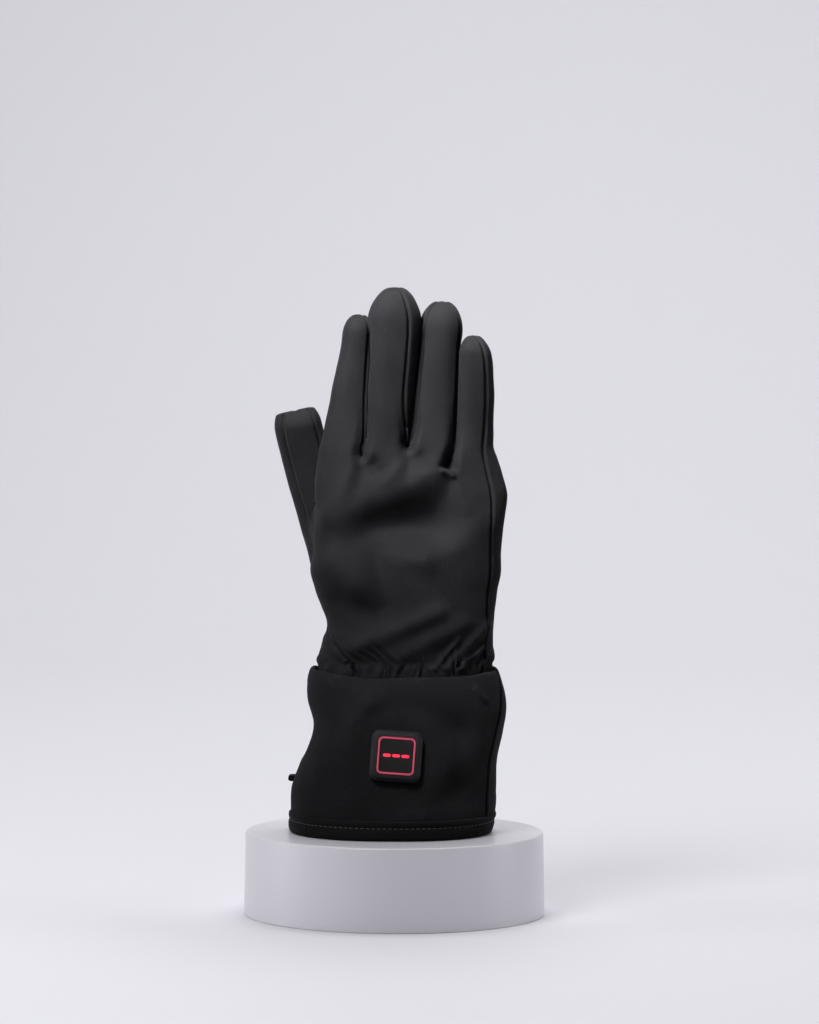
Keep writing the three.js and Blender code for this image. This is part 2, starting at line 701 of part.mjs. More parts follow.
// A mesh from points and faces that are loops of three or four point numbers.
function meshFrom(name, points, loops, finish) {
  const position = [];
  for (const loop of loops) {
    for (let k = 1; k + 1 < loop.length; k += 1) {
      for (const id of [loop[0], loop[k], loop[k + 1]]) position.push(...points[id].toArray());
    }
  }
  const geometry = new THREE.BufferGeometry();
  geometry.setAttribute("position", new THREE.Float32BufferAttribute(position, 3));
  geometry.computeVertexNormals();
  const mesh = new THREE.Mesh(geometry, finish);
  mesh.name = name;
  return mesh;
}

// One panel of the hand as a closed sheet of cloth: its outer face, its inner face one wall further
// in, and an edge all round that stands back from the seam by half the seam's gap. The panels on both
// sides of a seam split their edges along the same diagonals, so that twisted edges stay apart.
function clothPanel(name, surface, inward) {
  const faces = surface.panels[name];
  const open = new Map();
  for (const loop of faces) {
    loop.forEach((from, k) => {
      const to = loop[(k + 1) % loop.length];
      if (!open.delete(to + ">" + from)) open.set(from + ">" + to, [from, to]);
    });
  }
  const edges = [...open.values()];
  const pulls = new Map();
  for (const [from, to] of edges) {
    const along = surface.points[to].clone().sub(surface.points[from]);
    const pull = along.cross(inward[from].clone().add(inward[to])).normalize();
    for (const id of [from, to]) pulls.set(id, [...(pulls.get(id) ?? []), pull]);
  }
  const points = [];
  const outer = new Map();
  const inner = new Map();
  const longestPull = 2.2;
  for (const id of new Set(faces.flat())) {
    const place = surface.points[id].clone();
    if (pulls.has(id)) {
      const [one, other] = pulls.get(id);
      const reach = Math.min(1 / Math.max(1 + one.dot(other), 0.3), longestPull);
      place.addScaledVector(one.clone().add(other), (seamGap / 2) * reach);
    }
    outer.set(id, points.push(place) - 1);
    inner.set(id, points.push(place.clone().add(inward[id])) - 1);
  }
  const outside = faces.map((loop) => loop.map((id) => outer.get(id)));
  const inside = faces.map((loop) => {
    const [first, ...rest] = loop.map((id) => inner.get(id));
    return [first, ...rest.reverse()];
  });
  const walls = edges.map(([from, to]) => {
    const wall = [outer.get(to), outer.get(from), inner.get(from), inner.get(to)];
    return from < to ? [...wall.slice(1), wall[0]] : wall;
  });
  return meshFrom(name, points, [...outside, ...inside, ...walls], softshell());
}

// Cuff: its section at a share of its height, from the hem to the wrist that it is sewn to.
function cuffSection(share) {
  const wrist = grown(palmSection(0), cuffEase);
  const rise = ease(share);
  const halfHem = hemWidth / 2;
  return {
    left: mix(hemMiddle - halfHem, wrist.left, rise) + halfHem * read(cuffRows, share, "leftWave"),
    right: mix(hemMiddle + halfHem, wrist.right, rise) + halfHem * read(cuffRows, share, "rightWave"),
    front: mix(hemDepth / 2 + hemForward, wrist.front, share),
    back: mix(hemDepth / 2 - hemForward, wrist.back, share),
    power: cuffPower,
    y: 0,
  };
}

// The button's flat seat on the cuff: its middle, and the directions out of it and up along it.
function findSeat() {
  const share = buttonFromHem / cuffHeight;
  const step = 0.08;
  const spot = (s) => onSection(cuffSection(s), 90, hemBottom + s * cuffHeight);
  const up = spot(share + step).sub(spot(share - step)).setX(0).normalize();
  const outward = vector(1, 0, 0).cross(up);
  const middle = spot(share).setX(buttonAside).addScaledVector(outward, -seatSink);
  return { middle, outward, up };
}
const seat = findSeat();

// A point of the cuff's cloth: share is its height, and inset how far it lies under the outer face.
function cuffPoint(share, angle, inset) {
  const front = Math.max(Math.sin(radians(angle)), 0);
  const z = hemBottom + share * (cuffHeight + cuffDip * (1 - front ** 1.5));
  const section = cuffSection(share);
  const outer = onSection(section, angle, z);
  const point = onSection(grown(section, -inset), angle, z);
  const size = { half: hemWidth / 2, height: cuffHeight, depth: hemDepth };
  const fold = foldHeight(cuffFolds, outer.x - hemMiddle, z - hemBottom, size);
  point.y -= fold * ease(front * 1.5) * ease(4 * share) * ease(4 * (1 - share));
  const away = Math.hypot(outer.x - seat.middle.x, z - seat.middle.z);
  const flatness = (1 - ease((away - seatFlat) / (seatFade - seatFlat))) * ease(front * 4);
  const plane = seat.middle.y - ((z - seat.middle.z) * seat.outward.z + inset) / seat.outward.y;
  point.y = mix(point.y, plane, flatness);
  return point;
}

// The angle of a column of the cuff. side is "back" for the panel over the back of the hand, from the
// left seam to the right one, and "palm" for the panel that goes on round to the left seam.
function cuffAngle(side, part, share) {
  const leftSeam = read(cuffRows, share, "leftSeam");
  const rightSeam = read(cuffRows, share, "rightSeam");
  return side === "back" ? mix(leftSeam, rightSeam, part) : mix(rightSeam, leftSeam - fullTurn, part);
}

// The cuff's cloth in profile: up the outside, over the folded edge and down the facing that is sewn
// to the wrist, then back up inside the fold and down the inside to the hem.
function cuffProfile(side, part) {
  const place = (share, inset) => cuffPoint(share, cuffAngle(side, part, share), inset);
  const facingShare = 1 - facingDrop / cuffHeight;
  const facingSection = palmSection(-facingDrop / palmLength);
  const facingAngle = cuffAngle(side, part, facingShare);
  const facingZ = place(facingShare, 0).z;
  const facing = (gap) => onSection(grown(facingSection, gap), facingAngle, facingZ);
  const insideStations = cuffStations.filter((share) => share < facingShare).toReversed();
  return [
    ...cuffStations.map((share) => place(share, 0)),
    place(foldStation, 0),
    place(1, foldThickness / 2),
    place(foldStation, foldThickness),
    facing(sewnGap),
    facing(sewnGap + facingWall),
    place(foldInnerStation, foldThickness / 2),
    ...insideStations.map((share) => place(share, clothWall)),
  ];
}

// A closed solid through profiles with equal numbers of points. Where no end triangles are given, the
// last profile joins the first in a ring.
function sweep(name, profiles, finish, ends = null) {
  const size = profiles[0].length;
  const loops = [];
  const spans = ends ? profiles.length - 1 : profiles.length;
  for (let i = 0; i < spans; i += 1) {
    const after = ((i + 1) % profiles.length) * size;
    for (let k = 0; k < size; k += 1) {
      const next = (k + 1) % size;
      loops.push([i * size + k, after + k, after + next, i * size + next]);
    }
  }
  if (ends) {
    const last = (profiles.length - 1) * size;
    loops.push(...ends, ...ends.map((triangle) => triangle.map((k) => last + k).reverse()));
  }
  return meshFrom(name, profiles.flat(), loops, finish);
}

// Triangles over an outline, turned the same way as the outline itself.
function endTriangles(outline) {
  const turn = Math.sign(THREE.ShapeUtils.area(outline));
  return THREE.ShapeUtils.triangulateShape(outline, []).map((triangle) => {
    const sameWay = Math.sign(THREE.ShapeUtils.area(triangle.map((k) => outline[k]))) === turn;
    return sameWay ? triangle : triangle.reverse();
  });
}

const fromAxis = (point) => new THREE.Vector2(Math.hypot(point.x - hemMiddle, point.y), point.z);

function cuffPanel(name, side) {
  const profiles = range(0, cuffColumns + 1).map((column) => {
    const part = mix(cuffEndShare, 1 - cuffEndShare, column / cuffColumns);
    return cuffProfile(side, part);
  });
  return sweep(name, profiles, softshell(), endTriangles(cuffProfile("back", 0).map(fromAxis)));
}

// The binding folds round the cuff's lower edge, with a thick roll low on its outside and a narrow
// one above it.
function hemBinding() {
  const clearance = restGap;
  const clothEnd = cuffStations[0] * cuffHeight - clearance;
  const insideGap = clothWall + clearance;
  const profile = (side, part) => {
    const place = (up, out) => {
      const share = up / cuffHeight;
      return cuffPoint(share, cuffAngle(side, part, share), -out);
    };
    return [
      ...bindingRows.map((row) => place(row.up * bindingHeight, clearance + row.out * bindingRoll)),
      place(bindingHeight, clearance),
      place(clothEnd, clearance),
      place(clothEnd, -insideGap),
      place(bindingHeight, -insideGap),
      place(bindingHeight, -insideGap - bindingWall),
      place(bindingInnerLift, -insideGap - bindingWall),
      place(0, -insideGap),
    ];
  };
  const columns = range(0, cuffColumns);
  const profiles = [
    ...columns.map((column) => profile("back", column / cuffColumns)),
    ...columns.map((column) => profile("palm", column / cuffColumns)),
  ];
  return sweep("hem_binding", profiles, bindingCloth());
}

function displayPlinth() {
  const foot = plinthRadius + plinthDraft;
  const outline = [new THREE.Vector2(0, 0), new THREE.Vector2(foot, 0)];
  for (const turn of [0, 45, 90]) {
    const x = plinthRadius - plinthRound + plinthRound * Math.cos(radians(turn));
    const z = plinthHeight - plinthRound + plinthRound * Math.sin(radians(turn));
    outline.push(new THREE.Vector2(x, z));
  }
  outline.push(new THREE.Vector2(0, plinthHeight));
  const geometry = new THREE.LatheGeometry(outline, plinthSides);
  geometry.rotateX(Math.PI / 2);
  const mesh = new THREE.Mesh(geometry, paleLacquer());
  mesh.name = "display_plinth";
  return mesh;
}

// A square with rounded corners as a loop of points, at a height on the button.
const cornerSteps = 5;
function roundedSquare(width, corner, height) {
  const flat = width / 2 - corner;
  const points = [];
  for (const [x, y, start] of [[1, -1, -90], [1, 1, 0], [-1, 1, 90], [-1, -1, 180]]) {
    for (let m = 0; m < cornerSteps; m += 1) {
      const turn = radians(start + (90 * m) / (cornerSteps - 1));
      points.push(vector(x * flat + corner * Math.cos(turn), y * flat + corner * Math.sin(turn), height));
    }
  }
  return points;
}

const flatOnButton = (point) => new THREE.Vector2(point.x, point.y);

// Loops from the outside under the button, up and over its bevel and down into its pocket.
function buttonBezel() {
  const pocket = lightFrameWidth + 2 * pocketGap;
  const pocketCorner = buttonCorner - (buttonWidth - pocket) / 2 + bezelSlope / 2;
  const top = buttonWidth - 2 * bezelSlope;
  const loops = [
    roundedSquare(buttonWidth - 2 * footInset, buttonCorner - footInset, 0),
    roundedSquare(buttonWidth, buttonCorner, footHeight),
    roundedSquare(buttonWidth, buttonCorner, buttonHeight - bezelSlope),
    roundedSquare(top, buttonCorner - bezelSlope / 2, buttonHeight),
    roundedSquare(pocket, pocketCorner, buttonHeight),
    roundedSquare(pocket, pocketCorner, buttonHeight - pocketDepth),
  ];
  const profiles = loops.map((loop) => loop.reverse());
  return sweep("button_bezel", profiles, blackPlastic(), endTriangles(profiles[0].map(flatOnButton)));
}

const frameCorner = 2.6;

function buttonLightFrame() {
  const inside = lightFrameWidth - 2 * lightFrameLine;
  const bottom = buttonHeight - pocketDepth + restGap;
  const top = buttonHeight + lightFrameProud;
  const loops = [
    roundedSquare(lightFrameWidth, frameCorner, bottom),
    roundedSquare(lightFrameWidth, frameCorner, top),
    roundedSquare(inside, frameCorner - lightFrameLine, top),
    roundedSquare(inside, frameCorner - lightFrameLine, bottom),
  ];
  return sweep("button_light_frame", loops.map((loop) => loop.reverse()), redLight());
}

// A short bar with round ends, as an outline for a slot or a light guide.
function barOutline(length, width, x) {
  const shape = new THREE.Path();
  const flat = length / 2 - width / 2;
  shape.absarc(x + flat, 0, width / 2, -Math.PI / 2, Math.PI / 2, false);
  shape.absarc(x - flat, 0, width / 2, Math.PI / 2, (3 * Math.PI) / 2, false);
  return shape.getPoints(4);
}

const keyBottom = buttonHeight - keyRecess - keyThickness;
const levelPlaces = range(0, levelCount).map((k) => (k - (levelCount - 1) / 2) * levelPitch);

function plate(name, outline, holes, finish) {
  const shape = new THREE.Shape(outline);
  shape.holes = holes.map((hole) => new THREE.Path(hole));
  const geometry = new THREE.ExtrudeGeometry(shape, { depth: keyThickness, bevelEnabled: false });
  geometry.translate(0, 0, keyBottom);
  const mesh = new THREE.Mesh(geometry, finish);
  mesh.name = name;
  return mesh;
}

function buttonKey() {
  const width = lightFrameWidth - 2 * lightFrameLine - 2 * keyGap;
  const outline = roundedSquare(width, frameCorner - lightFrameLine - keyGap / 2, 0).map(flatOnButton);
  const slots = levelPlaces.map((x) => barOutline(levelLength + 2 * keyGap, levelWidth + 2 * keyGap, x));
  return plate("button_key", outline, slots, blackPlastic());
}

function keyLights() {
  return levelPlaces.map((x, k) => {
    const outline = barOutline(levelLength, levelWidth, x);
    return plate("key_light_" + (k + 1), outline, [], redLight());
  });
}

function controlButton() {
  const button = new THREE.Group();
  const frame = new THREE.Matrix4().makeBasis(vector(1, 0, 0), seat.up, seat.outward);
  button.quaternion.setFromRotationMatrix(frame);
  button.rotateZ(radians(buttonRoll));
  button.position.copy(seat.middle).addScaledVector(seat.outward, restGap);
  button.add(buttonBezel(), buttonLightFrame(), buttonKey(), ...keyLights());
  return button;
}

// A loop of webbing folded double, its open end against the cuff's left seam.
function seamTab() {
  const place = (up) => cuffPoint(up / cuffHeight, cuffAngle("back", 0, up / cuffHeight), -restGap);
  const seam = place(tabFromHem);
  const clear = Math.min(place(tabFromHem - tabThickness / 2).x, place(tabFromHem + tabThickness / 2).x);
  const outer = tabThickness / 2;
  const inner = outer - tabWall;
  const outline = new THREE.Shape();
  outline.moveTo(0, -outer);
  outline.lineTo(tabLength - outer, -outer);
  outline.absarc(tabLength - outer, 0, outer, -Math.PI / 2, Math.PI / 2, false);
  outline.lineTo(0, outer);
  outline.lineTo(0, inner);
  outline.lineTo(tabLength - outer, inner);
  outline.absarc(tabLength - outer, 0, inner, Math.PI / 2, -Math.PI / 2, true);
  outline.lineTo(0, -inner);
  const options = { depth: tabWidth, bevelEnabled: false, curveSegments: 6 };
  const tab = new THREE.Mesh(new THREE.ExtrudeGeometry(outline, options), bindingCloth());
  tab.name = "seam_tab";
  tab.geometry.translate(0, 0, -tabWidth / 2);
  tab.quaternion.setFromRotationMatrix(
    new THREE.Matrix4().makeBasis(vector(-1, 0, 0), vector(0, 0, 1), vector(0, 1, 0)),
  );
  tab.position.copy(seam).setX(clear - restGap);
  return tab;
}

const surface = handSurface();
const inward = stepsInward(surface);
const glove = new THREE.Group();
glove.add(displayPlinth());
glove.add(...Object.keys(surface.panels).map((name) => clothPanel(name, surface, inward)));
glove.add(cuffPanel("cuff_back_panel", "back"), cuffPanel("cuff_palm_panel", "palm"));
glove.add(hemBinding(), controlButton(), seamTab());

export default glove;
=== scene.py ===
# %% [markdown]
# # A heated glove on a round plinth
# The object is a right-hand winter glove of black softshell cloth, seen from the back of the hand. It
# stands on its gauntlet cuff on a pale lacquered disc, with a small square control button on the cuff.
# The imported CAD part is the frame: it gives the sizes and the two bodies, the glove and its key. Every
# soft solid is remade here as a finer cloth panel from the same tables of sections. A plain subdivision
# of the CAD mesh would be quicker, but it would round off the seams, and the seams are what makes a
# glove look sewn.

import math

import bpy
import numpy as np
from mathutils import Euler, Matrix, Vector, geometry, kdtree, noise


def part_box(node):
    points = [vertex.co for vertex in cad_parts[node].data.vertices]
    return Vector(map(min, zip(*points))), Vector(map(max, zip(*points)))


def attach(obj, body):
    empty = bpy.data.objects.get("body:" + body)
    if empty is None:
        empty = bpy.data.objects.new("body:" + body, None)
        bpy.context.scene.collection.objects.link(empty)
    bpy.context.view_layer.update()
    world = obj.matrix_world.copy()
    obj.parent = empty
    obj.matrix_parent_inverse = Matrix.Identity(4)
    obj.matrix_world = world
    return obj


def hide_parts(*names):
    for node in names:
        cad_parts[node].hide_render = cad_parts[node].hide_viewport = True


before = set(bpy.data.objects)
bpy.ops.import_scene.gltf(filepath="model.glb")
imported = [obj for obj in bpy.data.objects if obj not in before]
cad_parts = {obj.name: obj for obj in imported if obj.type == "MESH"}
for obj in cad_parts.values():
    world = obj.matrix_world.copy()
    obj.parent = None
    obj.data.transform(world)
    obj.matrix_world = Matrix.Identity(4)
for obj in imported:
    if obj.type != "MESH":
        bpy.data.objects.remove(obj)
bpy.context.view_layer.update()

# %% [markdown]
# ## Camera
# The photograph was taken from a little over two metres away with a long lens, slightly above the
# middle of the glove and a touch tilted. A long lens keeps the finger widths in proportion, so the
# distance and the angle of view are set first and everything else is judged through them.

# %% Set the camera
CAMERA_DISTANCE = 2.3
CAMERA_HEIGHT = 0.318
CAMERA_ASIDE = 0.0073
AIM_HEIGHT = 0.216
VIEW_ANGLE = 13.6
CAMERA_ROLL = 0.25

lens = bpy.data.cameras.new("camera")
camera = bpy.data.objects.new("camera", lens)
bpy.context.scene.collection.objects.link(camera)
camera.location = (CAMERA_ASIDE, -CAMERA_DISTANCE, CAMERA_HEIGHT)
pitch = math.atan2(AIM_HEIGHT - CAMERA_HEIGHT, CAMERA_DISTANCE)
turn = Euler((math.pi / 2 + pitch, 0, 0)).to_matrix() @ Matrix.Rotation(math.radians(CAMERA_ROLL), 3, "Z")
camera.rotation_euler = turn.to_euler()
lens.lens = lens.sensor_width / 2 / math.tan(math.radians(VIEW_ANGLE) / 2)
bpy.context.scene.camera = camera
print("lens", round(lens.lens, 1), "mm")

# %% [markdown]
# ## Shader sums
# A material is a small sum of patterns. One class wraps a socket, so that Python's own signs add the
# Math nodes, and its one method `node` makes any other node: first its settings, then its sockets.

# %% A socket that takes part in Python sums
class Wire:
    def __init__(self, tree, socket=None):
        self.tree = tree
        self.socket = socket

    def node(self, kind, settings, values, out=0):
        made = self.tree.nodes.new(kind)
        for name, setting in settings.items():
            setattr(made, name, setting)
        for key, value in values.items():
            if isinstance(value, Wire):
                self.tree.links.new(value.socket, made.inputs[key])
            else:
                made.inputs[key].default_value = value
        return Wire(self.tree, made.outputs[out] if len(made.outputs) else None)

    def maths(self, operation, first, second):
        return self.node("ShaderNodeMath", {"operation": operation}, {0: first, 1: second})

    def __add__(self, other):
        return self.maths("ADD", self, other)

    def __sub__(self, other):
        return self.maths("SUBTRACT", self, other)

    def __mul__(self, other):
        return self.maths("MULTIPLY", self, other)


def begin_finish(name):
    material = bpy.data.materials.new(name)
    material.use_nodes = True
    material.node_tree.nodes.clear()
    return material, Wire(material.node_tree)


def end_finish(wire, shader):
    wire.node("ShaderNodeOutputMaterial", {}, {"Surface": shader})


print("signs:", [name for name in ("__add__", "__sub__", "__mul__") if hasattr(Wire, name)])

# %% [markdown]
# ## Softshell cloth
# Softshell is a fine matt knit bonded to fleece. Close to, it shows tiny ribs and a short nap, and at
# arm's length only a soft mottle and a pale sheen where the cloth turns away. The ribs follow the cloth,
# so they are read from the panel's own UV map, which is laid out in metres. The mottle is plain noise on
# object coordinates. Sheen is a constant on the shader's own socket.

# %% Mix the softshell cloth
RIB_PITCH = 0.0009
MOTTLE_SIZE = 0.02
NAP_SIZE = 0.0011
SHEEN_TINT = (0.86, 0.86, 0.92, 1)
MIX_FACTOR, MIX_FROM, MIX_TO, MIXED_COLOUR = 0, 6, 7, 2


def ribbed(wire, pitch):
    uv = wire.node("ShaderNodeUVMap", {"uv_map": "cloth"}, {})
    waves = []
    for axis in ("X", "Y"):
        run = wire.node("ShaderNodeSeparateXYZ", {}, {0: uv}, out=axis)
        waves.append(wire.maths("SINE", run * (2 * math.pi / pitch), 0.0))
    return waves[0] * waves[1] * 0.5 + 0.5


def object_noise(wire, size, detail):
    place = wire.node("ShaderNodeTexCoord", {}, {}, out="Object")
    values = {"Vector": place, "Scale": 1 / size, "Detail": detail, "Roughness": 0.55}
    return wire.node("ShaderNodeTexNoise", {}, values)


def cloth_finish(name, dark, pale, sheen, bump):
    material, wire = begin_finish(name)
    mottle = object_noise(wire, MOTTLE_SIZE, 3.0)
    nap = object_noise(wire, NAP_SIZE, 2.0)
    blend = mottle * 0.6 + nap * 1.3 - 0.45
    mixed = {MIX_FACTOR: blend, MIX_FROM: (*dark, 1), MIX_TO: (*pale, 1)}
    colour = wire.node("ShaderNodeMix", {"data_type": "RGBA"}, mixed, out=MIXED_COLOUR)
    height = ribbed(wire, RIB_PITCH) * 0.35 + nap * 0.65
    normal = wire.node("ShaderNodeBump", {}, {"Strength": bump, "Distance": 0.0004, "Height": height})
    shader = wire.node(
        "ShaderNodeBsdfPrincipled",
        {},
        {
            "Base Color": colour,
            "Roughness": mottle * 0.12 + 0.7,
            "Normal": normal,
            "Sheen Weight": sheen,
            "Sheen Roughness": 0.45,
            "Sheen Tint": SHEEN_TINT,
            "Specular IOR Level": 0.05,
        },
    )
    end_finish(wire, shader)
    return material


softshell = cloth_finish("softshell", (0.0006, 0.0006, 0.0007), (0.0062, 0.0062, 0.0072), 0.012, 0.6)
binding_cloth = cloth_finish("binding_cloth", (0.0012, 0.0012, 0.0014), (0.0036, 0.0036, 0.0041), 0.02, 0.5)
print("cloth nodes", len(softshell.node_tree.nodes))

# %% [markdown]
# ## Plastic, light and lacquer
# The button's housing is fine-grained black plastic. Its lit frame and level bars are clear red plastic
# with a lamp behind, so they glow by themselves. The plinth is sprayed board: nearly smooth, with a
# faint orange peel that softens the glove's reflection in its top.

# %% Mix the hard finishes
def plastic_finish(name, colour, roughness, grain):
    material, wire = begin_finish(name)
    grains = object_noise(wire, 0.0004, 2.0)
    smudge = object_noise(wire, 0.006, 3.0)
    normal = wire.node("ShaderNodeBump", {}, {"Strength": grain, "Distance": 0.0001, "Height": grains})
    values = {
        "Base Color": (*colour, 1),
        "Roughness": smudge * 0.2 + (roughness - 0.1),
        "Normal": normal,
        "Specular IOR Level": 0.12,
    }
    end_finish(wire, wire.node("ShaderNodeBsdfPrincipled", {}, values))
    return material


UNLIT_SHARE = 0.3


def light_finish(name, colour, strength):
    material, wire = begin_finish(name)
    values = {
        "Base Color": (*(part * UNLIT_SHARE for part in colour), 1),
        "Roughness": 0.3,
        "Emission Color": (*colour, 1),
        "Emission Strength": strength,
    }
    end_finish(wire, wire.node("ShaderNodeBsdfPrincipled", {}, values))
    return material


def lacquer_finish(name, colour, roughness):
    material, wire = begin_finish(name)
    peel = object_noise(wire, 0.003, 2.0)
    dust = object_noise(wire, 0.05, 3.0)
    normal = wire.node("ShaderNodeBump", {}, {"Strength": 0.08, "Distance": 0.0002, "Height": peel})
    values = {"Base Color": (*colour, 1), "Roughness": dust * 0.12 + (roughness - 0.06), "Normal": normal}
    end_finish(wire, wire.node("ShaderNodeBsdfPrincipled", {}, values))
    return material


black_plastic = plastic_finish("black_plastic", (0.005, 0.005, 0.006), 0.55, 0.2)
key_plastic = plastic_finish("key_plastic", (0.006, 0.0055, 0.006), 0.4, 0.1)
red_light = light_finish("red_light", (0.4, 0.045, 0.085), 0.85)
level_light = light_finish("level_light", (1.0, 0.03, 0.07), 1.0)
pale_lacquer = lacquer_finish("pale_lacquer", (0.63, 0.62, 0.67), 0.34)
print("finishes", [material.name for material in bpy.data.materials])

# %% [markdown]
# ## Studio
# A sheet of pale paper runs from under the plinth up behind it, so no horizon shows. A soft key lamp
# stands in front on the left, a large one over the back lights the paper, and a panel on each side fills
# the shadows. In the photograph the fingers are brighter than the cuff, which one soft lamp can't give.
# So a small lamp with a narrow beam is aimed at them, and flags keep it off the paper and the plinth.

# %% Build the studio
PAPER_CURVE = 1.0
PAPER_BACK = 1.6
PAPER_WIDE = 7.0
PAPER_FRONT = -3.0
PAPER_TOP = 5.0


def mesh_object(name, points, faces, material):
    mesh = bpy.data.meshes.new(name)
    mesh.from_pydata([tuple(map(float, p)) for p in points], [], [tuple(map(int, f)) for f in faces])
    mesh.materials.append(material)
    mesh.polygons.foreach_set("use_smooth", [True] * len(mesh.polygons))
    mesh.update()
    made = bpy.data.objects.new(name, mesh)
    bpy.context.scene.collection.objects.link(made)
    return made


paper, wire = begin_finish("studio_paper")
fibre = object_noise(wire, 0.4, 2.0)
paper_values = {
    "Base Color": (0.735, 0.73, 0.775, 1),
    "Roughness": fibre * 0.05 + 0.6,
    "Specular IOR Level": 0.2,
}
end_finish(wire, wire.node("ShaderNodeBsdfPrincipled", {}, paper_values))

turns = np.linspace(0, math.pi / 2, 25)
bend = [(PAPER_BACK + PAPER_CURVE * math.sin(a), PAPER_CURVE * (1 - math.cos(a))) for a in turns]
run = [(PAPER_FRONT, 0.0), *bend, (PAPER_BACK + PAPER_CURVE, PAPER_TOP)]
sheet_points = [(side * PAPER_WIDE, y, z) for y, z in run for side in (-1, 1)]
sheet_faces = [(2 * k, 2 * k + 1, 2 * k + 3, 2 * k + 2) for k in range(len(run) - 1)]
studio_sheet = mesh_object("studio_sheet", sheet_points, sheet_faces, paper)
print("studio sheet", len(sheet_faces), "faces")

# %% [markdown]
# ## Lamps
# An area lamp is a soft box: the larger its disc, the softer its shadow. Light linking gives what a flag
# gives in a studio, a card that keeps a lamp's light off one thing. A lamp's spread narrows its beam.

# %% Hang the lamps
def soft_lamp(name, place, aim, size, power):
    lamp = bpy.data.lights.new(name, "AREA")
    lamp.shape = "DISK"
    lamp.size = size
    lamp.energy = power
    made = bpy.data.objects.new(name, lamp)
    made.location = place
    made.rotation_euler = (Vector(aim) - Vector(place)).to_track_quat("-Z", "Y").to_euler()
    bpy.context.scene.collection.objects.link(made)
    return made


def keep_off(lamp, spared):
    """Keeps a lamp's light off an object, as a flag in front of the lamp does."""
    flag = lamp.light_linking.receiver_collection or bpy.data.collections.new("flag")
    lamp.light_linking.receiver_collection = flag
    flag.objects.link(spared)
    flag.collection_objects[-1].light_linking.link_state = "EXCLUDE"


soft_lamp("key_lamp", (-0.5, -0.8, 1.05), (0, 0, 0.15), 0.65, 7.5)
soft_lamp("top_lamp", (0.3, 1.1, 2.9), (0.2, 1.6, 0.2), 2.4, 68)
soft_lamp("left_panel", (-1.5, 0.0, 0.4), (0, 0, 0.05), 0.9, 6.5)
soft_lamp("right_panel", (1.5, 0.0, 0.4), (0, 0, 0.05), 0.9, 6)
finger_lamp = soft_lamp("finger_lamp", (-0.28, -0.4, 0.95), (0.03, 0, 0.41), 0.3, 3.9)
finger_lamp.data.spread = math.radians(27)
keep_off(finger_lamp, studio_sheet)
world = bpy.data.worlds.new("studio")
world.use_nodes = True
backdrop = world.node_tree.nodes["Background"]
backdrop.inputs["Color"].default_value = (0.92, 0.92, 0.95, 1)
backdrop.inputs["Strength"].default_value = 0.1
bpy.context.scene.world = world
bpy.context.scene.view_settings.view_transform = "Standard"

# %% [markdown]
# ## Reading the pattern
# A glove maker works from a paper pattern. Here the pattern is a set of short tables: each row is a
# section of the hand at one height. A smooth curve through the rows gives any height between them, and
# a rounded section gives any place round it. Lengths are millimetres until a mesh is made.

# %% Tools for tables and sections
MM = 0.001


def ease(x):
    x = np.clip(x, 0, 1)
    return x * x * (3 - 2 * x)


def mix(a, b, t):
    return a + (b - a) * t


def cubic(t, start, leave, end, arrive):
    """A curve from start to end, with the slopes that it leaves and arrives with."""
    leaving = (2 * t**3 - 3 * t**2 + 1) * start + (t**3 - 2 * t**2 + t) * leave
    return leaving + (3 * t**2 - 2 * t**3) * end + (t**3 - t**2) * arrive


def read(table, at, name):
    """A column of a table at any place between its rows, on a smooth curve."""
    x, y = np.array(table["at"], float), np.array(table[name], float)
    ends = np.clip(np.arange(len(x))[:, None] + [-1, 1], 0, len(x) - 1)
    slope = (y[ends[:, 1]] - y[ends[:, 0]]) / (x[ends[:, 1]] - x[ends[:, 0]])
    i = np.clip(np.searchsorted(x, at) - 1, 0, len(x) - 2)
    span = x[i + 1] - x[i]
    t = np.clip((at - x[i]) / span, 0, 1)
    return cubic(t, y[i], span * slope[i], y[i + 1], span * slope[i + 1])


def on_section(section, angle, z=0.0):
    """Points on a rounded section, at angles counted from its right side towards its front."""
    c, s = np.cos(np.radians(angle)), np.sin(np.radians(angle))
    power = 2 / section["power"]
    middle, half = (section["left"] + section["right"]) / 2, (section["right"] - section["left"]) / 2
    x = middle + half * np.sign(c) * np.abs(c) ** power
    depth = np.where(s > 0, section["front"], section["back"])
    y = section["y"] - depth * np.sign(s) * np.abs(s) ** power
    return np.stack(np.broadcast_arrays(x, y, z), -1)


def grown(section, by):
    wider = {"left": -by, "right": by, "front": by, "back": by}
    return {name: value + wider.get(name, 0) for name, value in section.items()}


def share_angle(section, start, end, shares):
    angles = np.linspace(start, end, 241)
    steps = np.linalg.norm(np.diff(on_section(section, angles), axis=0), axis=1)
    lengths = np.concatenate([[0], np.cumsum(steps)])
    return np.interp(shares * lengths[-1], lengths, angles)


def crowd(share, towards_ends=0.62):
    """Moves columns towards both ends of a panel, where the seam needs them."""
    return share - towards_ends * np.sin(2 * math.pi * share) / (2 * math.pi)


def fold_heights(folds, x, z, half, height, depth):
    """The sum of soft ridges and hollows, each of which runs from one place to another."""
    total = np.zeros_like(x)
    for from_x, from_z, to_x, to_z, rise, spread in folds.values():
        start = np.array([from_x * half, from_z * height])
        along = np.array([to_x * half, to_z * height]) - start
        share = np.clip(((x - start[0]) * along[0] + (z - start[1]) * along[1]) / (along @ along), 0, 1)
        away = np.hypot(x - start[0] - share * along[0], z - start[1] - share * along[1])
        total += rise * depth * np.exp(-((away / (spread * depth)) ** 2))
    return total


unit_section = {"left": -1, "right": 1, "front": 1, "back": 1, "power": 2, "y": 0}
print("middle of a round section", on_section(unit_section, 90))

